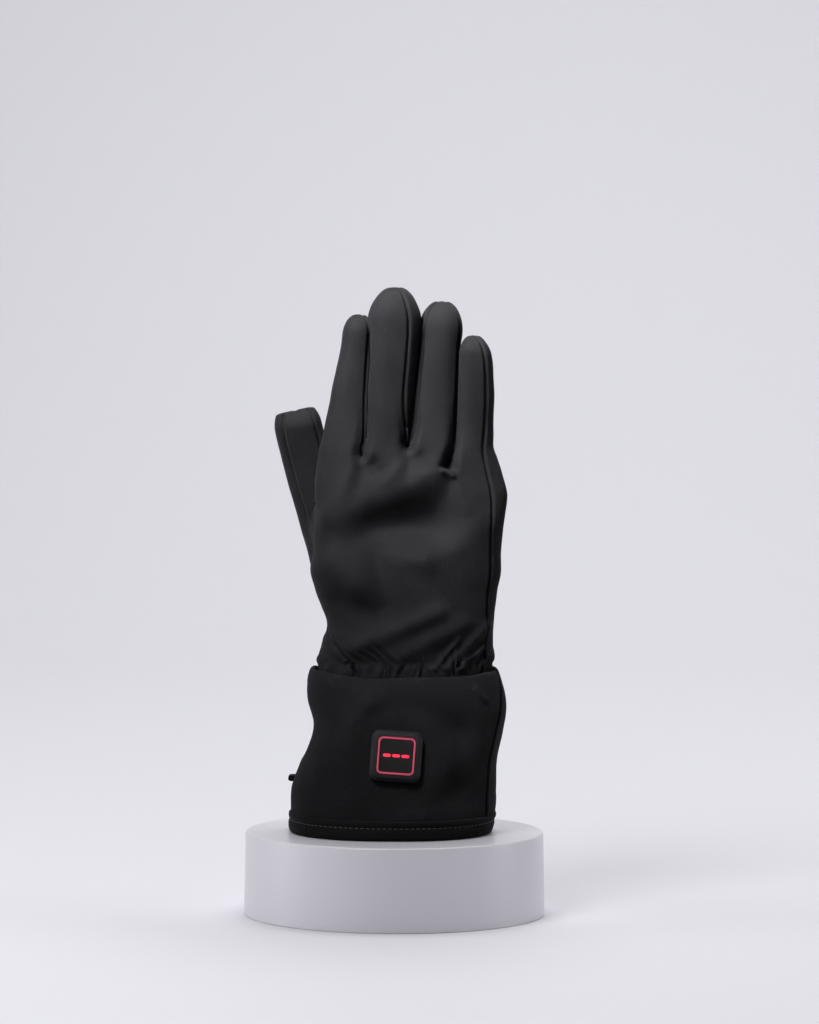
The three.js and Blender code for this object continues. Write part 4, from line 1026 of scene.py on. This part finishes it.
def mark_sharp(piece, sharp):
    piece.data.attributes.new("sharp_edge", "BOOLEAN", "EDGE").data.foreach_set("value", sharp)


def cloth_piece(name, points, normals, faces, uvs, edges, material, wall):
    used = np.unique([i for face in faces for i in face])
    renumber = {old: new for new, old in enumerate(used)}
    count = len(used)
    outer = points[used]
    inner = outer - normals[used] * wall
    outside = [[renumber[i] for i in face] for face in faces]
    inside = [[i + count for i in reversed(face)] for face in outside]
    rims = [[renumber[b], renumber[a], renumber[a] + count, renumber[b] + count] for a, b in edges]
    made = mesh_object(name, np.concatenate([outer, inner]) * MM, outside + inside + rims, material)
    flat = [spot for face in uvs for spot in face]
    flat += [spot for face in uvs for spot in reversed(face)]
    flat += [[0, 0]] * (4 * len(rims))
    layer = made.data.uv_layers.new(name="cloth")
    layer.data.foreach_set("uv", (np.array(flat) * MM).ravel())
    rim_pairs = {frozenset((renumber[a] + k, renumber[b] + k)) for a, b in edges for k in (0, count)}
    mark_sharp(made, [frozenset(edge.vertices) in rim_pairs for edge in made.data.edges])
    return made


def lay_flat(piece, spots):
    """Gives the corners of a piece their points' places on the flat cloth, in metres."""
    corners = np.zeros(len(piece.data.loops), int)
    piece.data.loops.foreach_get("vertex_index", corners)
    piece.data.uv_layers.new(name="cloth").data.foreach_set("uv", (spots[corners] * MM).ravel())


def finish_piece(piece, body, nodes=()):
    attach(piece, body)
    if nodes:
        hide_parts(*nodes)
    return piece


normals = point_normals(skin, all_faces)
for name, (faces, uvs) in panels.items():
    piece = cloth_piece(name + "_cloth", skin, normals, faces, uvs, borders[name], softshell, CLOTH_WALL)
    finish_piece(piece, "glove", [name])
    print(name, len(piece.data.polygons), "faces")

# %% [markdown]
# ## The cuff
# The gauntlet cuff is a looser tube round the wrist. Its upper edge is folded over and sewn down
# inside, so it stands a little proud of the hand and leaves a dark gap. Round the button the cloth is
# pulled flat. The two panels meet in grooved seams on the left and the right.

# %% Sections of the cuff
HEM_HALF, HEM_DEPTH, HEM_MIDDLE, HEM_FORWARD = 55, 87, -1.4, 7
CUFF_EASE, CUFF_DIP, FOLD, FACING_DROP, FACING_WALL, SEWN_GAP = 3.6, 3.6, 2.6, 9, 1.3, 0.5
CUFF_WALL, CUFF_FOLD_GAIN = 2.0, 1.5
BUTTON_WIDTH, BUTTON_FROM_HEM, BUTTON_ASIDE, SEAT_SINK = 27.2, 43.6, 0.8, 0.9
SEAT_FLAT, SEAT_FADE = 21.2, 35.4
cuff_rows = {
    "at": [0, 0.13, 0.26, 0.4, 0.53, 0.66, 0.8, 0.92, 1],
    "left_wave": [0.022, 0.006, -0.009, 0.025, 0.08, 0.085, -0.005, -0.025, 0],
    "right_wave": [-0.05, 0, 0.008, 0.011, 0.035, 0.064, 0.075, 0.038, -0.005],
    "left_seam": [186, 187, 188, 190, 191, 191, 190, 188, 187],
    "right_seam": [27.5, 27.5, 27.5, 27, 27, 24.5, 20, 12, 7],
}
cuff_folds = {
    "left_pleat": (-0.75, 0.42, -0.2, 0.8, 0.03, 0.1),
    "upper_hollow": (0.05, 0.68, 0.62, 0.66, -0.035, 0.12),
    "right_dent": (0.62, 0.3, 0.72, 0.14, -0.03, 0.1),
    "hem_roll": (0.1, 0.1, 0.72, 0.12, 0.025, 0.09),
    "edge_pucker": (0.815, 0.93, 0.9, 0.86, 0.014, 0.02),
    "edge_wave_left": (-0.66, 0.99, -0.6, 0.93, 0.009, 0.022),
    "edge_wave_left_low": (-0.54, 0.99, -0.5, 0.93, 0.007, 0.02),
}


def cuff_section(share):
    wrist, rise = grown(palm_section(0), CUFF_EASE), ease(share)
    waves = {side: HEM_HALF * read(cuff_rows, share, side + "_wave") for side in ("left", "right")}
    return {
        "left": mix(HEM_MIDDLE - HEM_HALF, wrist["left"], rise) + waves["left"],
        "right": mix(HEM_MIDDLE + HEM_HALF, wrist["right"], rise) + waves["right"],
        "front": mix(HEM_DEPTH / 2 + HEM_FORWARD, wrist["front"], share),
        "back": mix(HEM_DEPTH / 2 - HEM_FORWARD, wrist["back"], share),
        "power": TUBE_POWER,
        "y": 0,
    }


def find_seat():
    def spot(share):
        return on_section(cuff_section(share), 90, HEM_Z + share * CUFF_HEIGHT)

    share = BUTTON_FROM_HEM / CUFF_HEIGHT
    up = (spot(share + 0.08) - spot(share - 0.08)) * [0, 1, 1]
    up /= np.linalg.norm(up)
    outward = np.cross([1.0, 0, 0], up)
    middle = spot(share)
    middle[0] = BUTTON_ASIDE
    return middle - outward * SEAT_SINK, outward, up


seat, seat_out, seat_up = find_seat()


def cuff_point(share, angle, inset):
    front = np.maximum(np.sin(np.radians(angle)), 0)
    z = HEM_Z + share * (CUFF_HEIGHT + CUFF_DIP * (1 - front**1.5))
    section = cuff_section(share)
    outer = on_section(section, angle, z)
    point = on_section(grown(section, -inset), angle, z)
    aside, up = outer[..., 0] - HEM_MIDDLE, z - HEM_Z
    fold = fold_heights(cuff_folds, aside, up, HEM_HALF, CUFF_HEIGHT, HEM_DEPTH) * CUFF_FOLD_GAIN
    point[..., 1] -= fold * ease(front * 1.5) * ease(4 * share) * ease(12 * (1.04 - share))
    away = np.hypot(outer[..., 0] - seat[0], z - seat[2])
    flatness = (1 - ease((away - SEAT_FLAT) / (SEAT_FADE - SEAT_FLAT))) * ease(front * 4)
    plane = seat[1] - ((z - seat[2]) * seat_out[2] + inset) / seat_out[1]
    point[..., 1] = mix(point[..., 1], plane, flatness)
    return point


print("button seat", seat.round(2), "outward", seat_out.round(3))

# %% [markdown]
# ## The cuff's two panels
# A panel is one profile, repeated at many places round the wrist: up the outside from the hem, over the
# fold, down the facing, and back to the hem inside. A simulated sheet would fold as well, but where the
# fold came to lie would be left to chance, and the button needs its flat seat.

# %% Sew the cuff's panels
CUFF_COLUMNS, CUFF_ROWS, LINING_ROWS, FOLD_ROWS = 132, 80, 16, 9
CUFF_LUMPS = ((30.0, 0.9), (13.0, 0.45), (6.0, 0.14))
CUFF_LIP_FROM_SEAM, CUFF_LIP_WIDE = 2.2, 1.1
CALM_FROM, CALM_FADE = 14, 10
FOLD_FROM, PANEL_GAP, CUFF_ROW_STEP = 0.975, 0.0015, 0.9


def cuff_angles(side, share):
    left, right = read(cuff_rows, share, "left_seam"), read(cuff_rows, share, "right_seam")
    start, end = (left, right) if side == "back" else (right, left - 360)
    return mix(start, end, crowd(np.linspace(PANEL_GAP, 1 - PANEL_GAP, CUFF_COLUMNS)))


def cuff_profiles(side):
    """Rows of points from the hem up the outside, over the fold, down the facing and back inside."""
    outside = np.concatenate([np.linspace(0.03, 0.955, CUFF_ROWS), [0.965, FOLD_FROM]])
    rows = [cuff_point(share, cuff_angles(side, share), 0) for share in outside]
    for bow in np.radians(np.linspace(15, 165, FOLD_ROWS)):
        share, inset = mix(FOLD_FROM, 1, math.sin(bow)), FOLD / 2 * (1 - math.cos(bow))
        rows.append(cuff_point(share, cuff_angles(side, share), inset))
    facing_share = 1 - FACING_DROP / CUFF_HEIGHT
    facing_section = palm_section(-FACING_DROP / PALM_LENGTH)
    angles = cuff_angles(side, facing_share)
    low = cuff_point(facing_share, angles, 0)[:, 2]
    rows.append(cuff_point(FOLD_FROM, cuff_angles(side, FOLD_FROM), FOLD))
    rows.append(on_section(grown(facing_section, SEWN_GAP), angles, low))
    rows.append(on_section(grown(facing_section, SEWN_GAP + FACING_WALL), angles, low))
    rows.append(cuff_point(0.955, cuff_angles(side, 0.955), FOLD / 2))
    for share in np.linspace(0.88, 0.03, LINING_ROWS):
        rows.append(cuff_point(share, cuff_angles(side, share), CUFF_WALL))
    return np.stack(rows), len(outside) + FOLD_ROWS


def cuff_piece(name, side):
    rows, shown = cuff_profiles(side)
    outer = rows[:shown]
    across = np.gradient(outer, axis=1)
    normal = np.cross(across, np.gradient(outer, axis=0))
    normal /= np.maximum(np.linalg.norm(normal, axis=-1, keepdims=True), 1e-9)
    steps = np.linalg.norm(np.diff(outer, axis=1), axis=-1)
    run = np.concatenate([np.zeros((shown, 1)), np.cumsum(steps, axis=1)], axis=1)
    away = np.minimum(run, run[:, -1:] - run)
    lip = LIP_HEIGHT * np.exp(-(((away - CUFF_LIP_FROM_SEAM) / CUFF_LIP_WIDE) ** 2))
    press = -SEAM_DEPTH * np.exp(-((away / SEAM_WIDE) ** 2)) + lip
    swell = lumps(outer.reshape(-1, 3) + [300, 0, 0], CUFF_LUMPS).reshape(away.shape)
    calm = ease((np.hypot(outer[..., 0] - seat[0], outer[..., 2] - seat[2]) - CALM_FROM) / CALM_FADE)
    swell = np.where(outer[..., 1] < 0, swell * calm, swell)
    rows[:shown] += (press + swell)[..., None] * normal
    count, columns = rows.shape[:2]
    ids = np.arange(count * columns).reshape(count, columns)
    after = np.roll(ids, -1, axis=0)
    quads = np.stack([ids[:, :-1], ids[:, 1:], after[:, 1:], after[:, :-1]], -1).reshape(-1, 4)
    ends = []
    for column, turned in ((0, True), (columns - 1, False)):
        outline = [Vector(p) for p in rows[:, column]]
        for triangle in geometry.tessellate_polygon([outline]):
            ends.append([ids[k, column] for k in triangle][:: -1 if turned else 1])
    made = mesh_object(name, rows.reshape(-1, 3) * MM, [*quads.tolist(), *ends], softshell)
    lengths = np.concatenate([run, np.repeat(run[-1:], count - shown, axis=0)])
    heights = np.broadcast_to(np.arange(count)[:, None] * CUFF_ROW_STEP, lengths.shape)
    spots = np.stack([lengths, heights], -1).reshape(-1, 2)
    lay_flat(made, spots)
    edge_ids = set(ids[:, 0].tolist()) | set(ids[:, -1].tolist())
    mark_sharp(made, [edge_ids.issuperset(edge.vertices) for edge in made.data.edges])
    return made


for side in ("back", "palm"):
    piece = cuff_piece(f"cuff_{side}_cloth", side)
    finish_piece(piece, "glove", [f"cuff_{side}_panel"])
    print(piece.name, len(piece.data.polygons), "faces")

# %% [markdown]
# ## The hem's binding
# The raw lower edge is wrapped in a strip of woven binding: a thick roll below, a sewn channel, and a
# narrow roll above. It is one profile carried round the cuff, so it follows every wave of the hem.

# %% Wrap the hem
BINDING_HEIGHT, BINDING_WALL, BINDING_ROLL, REST = 10, 1.3, 1.3, 0.3
BINDING_ROWS, BINDING_ROW_STEP, BINDING_PUCKER = 34, 0.35, 0.06
binding_rows = {
    "at": [0, 0.04, 0.1, 0.2, 0.32, 0.44, 0.54, 0.6, 0.64, 0.68, 0.74, 0.82, 0.9, 0.96, 1],
    "out": [0.2, 0.62, 0.88, 1.02, 1.04, 0.98, 0.8, 0.58, 0.42, 0.52, 0.72, 0.82, 0.78, 0.6, 0.05],
}


def binding_row(up, out, pucker=0.0):
    share = up / CUFF_HEIGHT
    angle = np.concatenate([cuff_angles(side, share)[:-1] for side in ("back", "palm")])
    wave = 1 + pucker * np.sin(np.arange(len(angle)) * 1.9) * np.sin(np.arange(len(angle)) * 0.37)
    return cuff_point(share, angle, -REST - out * wave)


ups = np.linspace(0, 1, BINDING_ROWS)
outs = [read(binding_rows, up, "out") * BINDING_ROLL for up in ups]
hem_rows = [binding_row(up * BINDING_HEIGHT, out, BINDING_PUCKER) for up, out in zip(ups, outs)]
near_gap = -2 * REST - CUFF_WALL
far_gap = near_gap - BINDING_WALL
for up, out in ((1, near_gap), (1, far_gap), (0.12, far_gap), (0, near_gap)):
    hem_rows.append(binding_row(up * BINDING_HEIGHT, out))
hem_points = np.stack(hem_rows)
hem_ids = np.arange(hem_points.shape[0] * hem_points.shape[1]).reshape(hem_points.shape[:2])
hem_next = np.roll(hem_ids, -1, axis=0)
hem_beside, hem_across = np.roll(hem_ids, -1, axis=1), np.roll(hem_next, -1, axis=1)
hem_quads = np.stack([hem_ids, hem_beside, hem_across, hem_next], -1).reshape(-1, 4)
binding = mesh_object("hem_binding_cloth", hem_points.reshape(-1, 3) * MM, hem_quads, binding_cloth)
hem_run = ring_lengths(hem_points[0])[:-1]
hem_heights = np.arange(len(hem_rows))[:, None] * BINDING_ROW_STEP
lay_flat(binding, np.stack(np.broadcast_arrays(hem_run[None], hem_heights), -1).reshape(-1, 2))
finish_piece(binding, "glove", ["hem_binding"])
print("binding", len(binding.data.polygons), "faces")

# %% [markdown]
# ## The plinth
# A plain disc of lacquered board, turned on a lathe in real life and made the same way here: one
# outline, carried round the axis.

# %% Turn the plinth
PLINTH_RADIUS, PLINTH_HEIGHT, PLINTH_DRAFT, PLINTH_ROUND, PLINTH_SIDES = 80, 44.5, 0.8, 1.2, 192


def turned(name, outline, sides, material):
    angles = np.linspace(0, 2 * math.pi, sides, endpoint=False)
    ring = np.stack([np.cos(angles), np.sin(angles)], -1)
    points = np.concatenate([np.column_stack([ring * radius, np.full(sides, z)]) for radius, z in outline])
    count = len(outline)
    faces = [list(range(sides))[::-1], list(range((count - 1) * sides, count * sides))]
    for k in range(count - 1):
        a, b = k * sides, (k + 1) * sides
        faces += [[a + m, a + (m + 1) % sides, b + (m + 1) % sides, b + m] for m in range(sides)]
    made = mesh_object(name, points * MM, faces, material)
    for k in (0, 1):
        made.data.polygons[k].use_smooth = False
    made.data.set_sharp_from_angle(angle=math.radians(40))
    return made


rounding_arc = [
    (PLINTH_RADIUS - PLINTH_ROUND * (1 - math.cos(a)), PLINTH_HEIGHT - PLINTH_ROUND * (1 - math.sin(a)))
    for a in np.linspace(0, math.pi / 2, 7)
]
foot = PLINTH_RADIUS + PLINTH_DRAFT
plinth_outline = [(foot - 0.4, 0), (foot, 0.4), *rounding_arc, (PLINTH_RADIUS - 3, PLINTH_HEIGHT)]
plinth = turned("plinth", plinth_outline, PLINTH_SIDES, pale_lacquer)
finish_piece(plinth, "glove", ["display_plinth"])
keep_off(finger_lamp, plinth)
print("plinth", len(plinth.data.polygons), "faces")

# %% [markdown]
# ## The control button
# A square housing with soft corners sits in a flat place on the cuff. Its bevel catches the lamp. A
# thin red frame glows round the key, and three short bars on the key show the heat level. A modelled
# cube with a Bevel modifier would do, but the steps of this shape are easier to read and to set as a
# stack of rounded squares, skinned from the outside under the button to the middle.

# %% Rounded squares on the button's own axes
BUTTON_ROLL = -4
roll = math.radians(BUTTON_ROLL)
button_x = math.cos(roll) * np.array([1.0, 0, 0]) + math.sin(roll) * seat_up
button_y = np.cross(seat_out, button_x)
button_base = seat + seat_out * REST


def rounded_square(width, corner, height, steps=10):
    """One loop of points, to the right and up on the button, with its height above the seat."""
    flat = width / 2 - corner
    points = []
    for x, y, start in ((1, -1, -90), (1, 1, 0), (-1, 1, 90), (-1, -1, 180)):
        for angle in np.radians(np.linspace(start, start + 90, steps)):
            points.append((x * flat + corner * math.cos(angle), y * flat + corner * math.sin(angle), height))
    return points


def on_button(points):
    flat = np.asarray(points, float)
    return button_base + flat[:, :1] * button_x + flat[:, 1:2] * button_y + flat[:, 2:] * seat_out


def stacked(name, loops, material, ring=False):
    round_count = len(loops[0])
    faces = []
    spans = len(loops) if ring else len(loops) - 1
    for k in range(spans):
        a, b = k * round_count, (k + 1) % len(loops) * round_count
        for m in range(round_count):
            after = (m + 1) % round_count
            faces.append([a + m, a + after, b + after, b + m])
    if not ring:
        last = (len(loops) - 1) * round_count
        faces += [list(range(round_count))[::-1], list(range(last, last + round_count))]
    made = mesh_object(name, on_button([p for loop in loops for p in loop]) * MM, faces, material)
    made.data.set_sharp_from_angle(angle=math.radians(35))
    return made


print("button at", (button_base * MM).round(4))

# %% [markdown]
# ## The housing
# The housing rises straight from the cloth, leans in over a bevel, and has a pocket for the frame and
# the key. Close loops at each bend keep the bends tight while the faces between them shade smoothly.

# %% Stack the housing
BUTTON_HEIGHT, BUTTON_CORNER, BEZEL_SLOPE = 4.2, 4.6, 1.6
FRAME_WIDTH, FRAME_CORNER, FRAME_GAP, POCKET_DEPTH = 19.6, 2.6, 0.4, 3.4
pocket = FRAME_WIDTH + FRAME_GAP
top_width = BUTTON_WIDTH - 2 * BEZEL_SLOPE
shoulder = BUTTON_HEIGHT - BEZEL_SLOPE
bezel_loops = [
    rounded_square(BUTTON_WIDTH - 1, BUTTON_CORNER - 0.5, 0),
    rounded_square(BUTTON_WIDTH, BUTTON_CORNER, 0.8),
    rounded_square(BUTTON_WIDTH, BUTTON_CORNER, shoulder - 0.3),
    rounded_square(BUTTON_WIDTH - 0.12, BUTTON_CORNER - 0.06, shoulder),
    rounded_square(BUTTON_WIDTH - 0.45, BUTTON_CORNER - 0.2, shoulder + 0.28),
    rounded_square(top_width + 0.5, BUTTON_CORNER - 0.65, BUTTON_HEIGHT - 0.32),
    rounded_square(top_width + 0.12, BUTTON_CORNER - 0.76, BUTTON_HEIGHT - 0.06),
    rounded_square(top_width - 0.3, BUTTON_CORNER - 0.9, BUTTON_HEIGHT),
    rounded_square(pocket + 0.16, FRAME_CORNER + 0.3, BUTTON_HEIGHT),
    rounded_square(pocket, FRAME_CORNER + 0.22, BUTTON_HEIGHT - 0.1),
    rounded_square(pocket, FRAME_CORNER + 0.22, BUTTON_HEIGHT - POCKET_DEPTH),
]
housing = stacked("button_housing", bezel_loops, black_plastic)
finish_piece(housing, "glove", ["button_bezel"])
print("housing", len(housing.data.polygons), "faces")

# %% [markdown]
# ## The lit frame and the key
# The frame is one ring of light pipe, fixed in the housing. The key inside it is the only thing that
# moves, so it rides on its own body and keeps a gap all round. The level bars come from the CAD part and
# ride on the key as well, and only get a glowing finish.

# %% Fit the frame and the key
FRAME_LINE, FRAME_PROUD, EDGE_ROUND = 0.8, 0.15, 0.12
KEY_RECESS, KEY_THICKNESS, KEY_GAP = 0.35, 1.7, 0.2
LEVELS = 3
low, high_edge = BUTTON_HEIGHT - POCKET_DEPTH + REST, BUTTON_HEIGHT + FRAME_PROUD
inner = FRAME_WIDTH - 2 * FRAME_LINE
frame_inside = FRAME_CORNER - FRAME_LINE
frame_loops = [
    rounded_square(FRAME_WIDTH, FRAME_CORNER, low),
    rounded_square(FRAME_WIDTH, FRAME_CORNER, high_edge - EDGE_ROUND),
    rounded_square(FRAME_WIDTH - 2 * EDGE_ROUND, FRAME_CORNER - EDGE_ROUND, high_edge),
    rounded_square(inner + 2 * EDGE_ROUND, frame_inside + EDGE_ROUND, high_edge),
    rounded_square(inner, frame_inside, high_edge - EDGE_ROUND),
    rounded_square(inner, frame_inside, low),
]
lit_frame = stacked("lit_frame", frame_loops, red_light, ring=True)
finish_piece(lit_frame, "glove", ["button_light_frame"])

key_width = inner - 2 * KEY_GAP
key_top = BUTTON_HEIGHT - KEY_RECESS
key_loops = [
    rounded_square(key_width, frame_inside - 0.1, key_top - KEY_THICKNESS),
    rounded_square(key_width, frame_inside - 0.1, key_top - 0.15),
    rounded_square(key_width - 0.3, frame_inside - 0.25, key_top - 0.03),
]
finish_piece(stacked("key_cap", key_loops, key_plastic), "key", ["button_key"])
for level in range(1, LEVELS + 1):
    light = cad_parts[f"key_light_{level}"]
    light.data.materials.clear()
    light.data.materials.append(level_light)
print("key", round(key_width, 2), "mm wide")

# %% [markdown]
# ## The seam tab
# A small loop of webbing is sewn into the cuff's left seam. It is one bent outline pushed out along its
# width, and its two ends reach into the seam. Its place comes from the frame's own box of the tab, so
# the two can't drift apart.

# %% Bend the tab
TAB_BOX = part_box("seam_tab")
TAB_WALL, TAB_ROOT = 1.1, 4.5


def tab_outline(half, end_x, root_x, steps=9):
    arc = [(end_x + half * (1 - math.sin(a)), half * math.cos(a)) for a in np.linspace(0, math.pi, steps)]
    return [(root_x, half), *arc, (root_x, -half)]


(tab_x, tab_y0, tab_z0), (tab_x1, tab_y1, tab_z1) = [[v / MM for v in corner] for corner in TAB_BOX]
tab_half = (tab_z1 - tab_z0) / 2
inner_line = tab_outline(tab_half - TAB_WALL, tab_x + TAB_WALL, tab_x1 + TAB_ROOT)
tab_line = tab_outline(tab_half, tab_x, tab_x1 + TAB_ROOT) + inner_line[::-1]
tab_points = [(px, py, pz + (tab_z0 + tab_z1) / 2) for py in (tab_y0, tab_y1) for px, pz in tab_line]
turns = len(tab_line)
tab_faces = [[k, (k + 1) % turns, (k + 1) % turns + turns, k + turns] for k in range(turns)]
for k in range(turns // 2 - 1):
    far = turns - 1 - k
    tab_faces += [[k, far, far - 1, k + 1], [k + turns, k + 1 + turns, far - 1 + turns, far + turns]]
tab = mesh_object("tab_loop", np.array(tab_points) * MM, tab_faces, binding_cloth)
tab.data.set_sharp_from_angle(angle=math.radians(50))
tab.data.uv_layers.new(name="cloth")
finish_piece(tab, "glove", ["seam_tab"])
print("tab", [round(v, 4) for v in TAB_BOX[0]])

# %% [markdown]
# ## Stitches along a line
# The binding is held by a row of short stitches in the channel between its two rolls. Stitches repeat
# along a line, so Geometry Nodes place them: the line is cut to equal steps, and each step gets a small
# bead of thread turned along the line. An Array modifier on a curve would bend the beads.

# %% A node tree that sews along a line
def stitch_tree():
    tree = bpy.data.node_groups.new("sewing", "GeometryNodeTree")
    sockets = tree.interface
    sockets.new_socket("Line", in_out="INPUT", socket_type="NodeSocketGeometry")
    for name in ("Pitch", "Length", "Thickness"):
        sockets.new_socket(name, in_out="INPUT", socket_type="NodeSocketFloat")
    sockets.new_socket("Thread", in_out="INPUT", socket_type="NodeSocketMaterial")
    sockets.new_socket("Stitches", in_out="OUTPUT", socket_type="NodeSocketGeometry")
    nodes, link = tree.nodes, tree.links.new
    given, result = nodes.new("NodeGroupInput"), nodes.new("NodeGroupOutput")
    steps = nodes.new("GeometryNodeResampleCurve")
    steps.mode = "LENGTH"
    link(given.outputs["Line"], steps.inputs["Curve"])
    link(given.outputs["Pitch"], steps.inputs["Length"])
    bead = nodes.new("GeometryNodeMeshUVSphere")
    bead.inputs["Segments"].default_value = 8
    bead.inputs["Rings"].default_value = 5
    bead.inputs["Radius"].default_value = 0.5
    bead_size = nodes.new("ShaderNodeCombineXYZ")
    for axis, name in (("X", "Length"), ("Y", "Thickness"), ("Z", "Thickness")):
        link(given.outputs[name], bead_size.inputs[axis])
    along = nodes.new("GeometryNodeInputTangent")
    turned_along = nodes.new("FunctionNodeAlignRotationToVector")
    turned_along.axis = "X"
    link(along.outputs[0], turned_along.inputs["Vector"])
    place = nodes.new("GeometryNodeInstanceOnPoints")
    link(steps.outputs[0], place.inputs["Points"])
    link(bead.outputs["Mesh"], place.inputs["Instance"])
    link(turned_along.outputs[0], place.inputs["Rotation"])
    link(bead_size.outputs[0], place.inputs["Scale"])
    real = nodes.new("GeometryNodeRealizeInstances")
    coloured = nodes.new("GeometryNodeSetMaterial")
    link(place.outputs[0], real.inputs[0])
    link(real.outputs[0], coloured.inputs["Geometry"])
    link(given.outputs["Thread"], coloured.inputs["Material"])
    link(coloured.outputs[0], result.inputs[0])
    return tree


sewing = stitch_tree()
print("sewing tree", len(sewing.nodes), "nodes")

# %% [markdown]
# ## Sewing the binding
# The tree runs on a closed line in the channel. Its result is kept as a plain mesh, because the line and
# the modifier have done their work once the stitches are there.

# %% Sew the binding down
def thread_finish():
    material, wire = begin_finish("thread")
    ply = object_noise(wire, 0.0005, 1.0)
    twist = wire.node("ShaderNodeBump", {}, {"Strength": 0.4, "Distance": 0.0001, "Height": ply})
    values = {"Base Color": (0.02, 0.02, 0.022, 1), "Roughness": ply * 0.2 + 0.45, "Normal": twist}
    end_finish(wire, wire.node("ShaderNodeBsdfPrincipled", {}, values))
    return material


def sew(name, line, tree, sizes):
    curve = bpy.data.curves.new(name + "_line", "CURVE")
    curve.dimensions = "3D"
    spline = curve.splines.new("POLY")
    spline.points.add(len(line) - 1)
    spline.points.foreach_set("co", np.column_stack([line * MM, np.ones(len(line))]).ravel())
    spline.use_cyclic_u = True
    holder = bpy.data.objects.new(name + "_line", curve)
    bpy.context.scene.collection.objects.link(holder)
    modifier = holder.modifiers.new("sewing", "NODES")
    modifier.node_group = tree
    for item in tree.interface.items_tree:
        if item.in_out == "INPUT" and item.name in sizes:
            modifier[item.identifier] = sizes[item.name]
    graph = bpy.context.evaluated_depsgraph_get()
    mesh = bpy.data.meshes.new_from_object(holder.evaluated_get(graph))
    made = bpy.data.objects.new(name, mesh)
    bpy.context.scene.collection.objects.link(made)
    holder.modifiers.remove(modifier)
    bpy.data.objects.remove(holder)
    mesh.polygons.foreach_set("use_smooth", [True] * len(mesh.polygons))
    return made


CHANNEL_UP, CHANNEL_OUT = 0.64, 0.44
STITCH_PITCH, STITCH_LENGTH, THREAD_WIDE = 3.0, 2.3, 0.42
channel = binding_row(CHANNEL_UP * BINDING_HEIGHT, CHANNEL_OUT * BINDING_ROLL)
stitch_sizes = {"Pitch": STITCH_PITCH * MM, "Length": STITCH_LENGTH * MM, "Thickness": THREAD_WIDE * MM}
stitch_sizes["Thread"] = thread_finish()
stitches = sew("binding_stitches", channel, sewing, stitch_sizes)
finish_piece(stitches, "glove")
print("stitches", len(stitches.data.polygons), "faces")
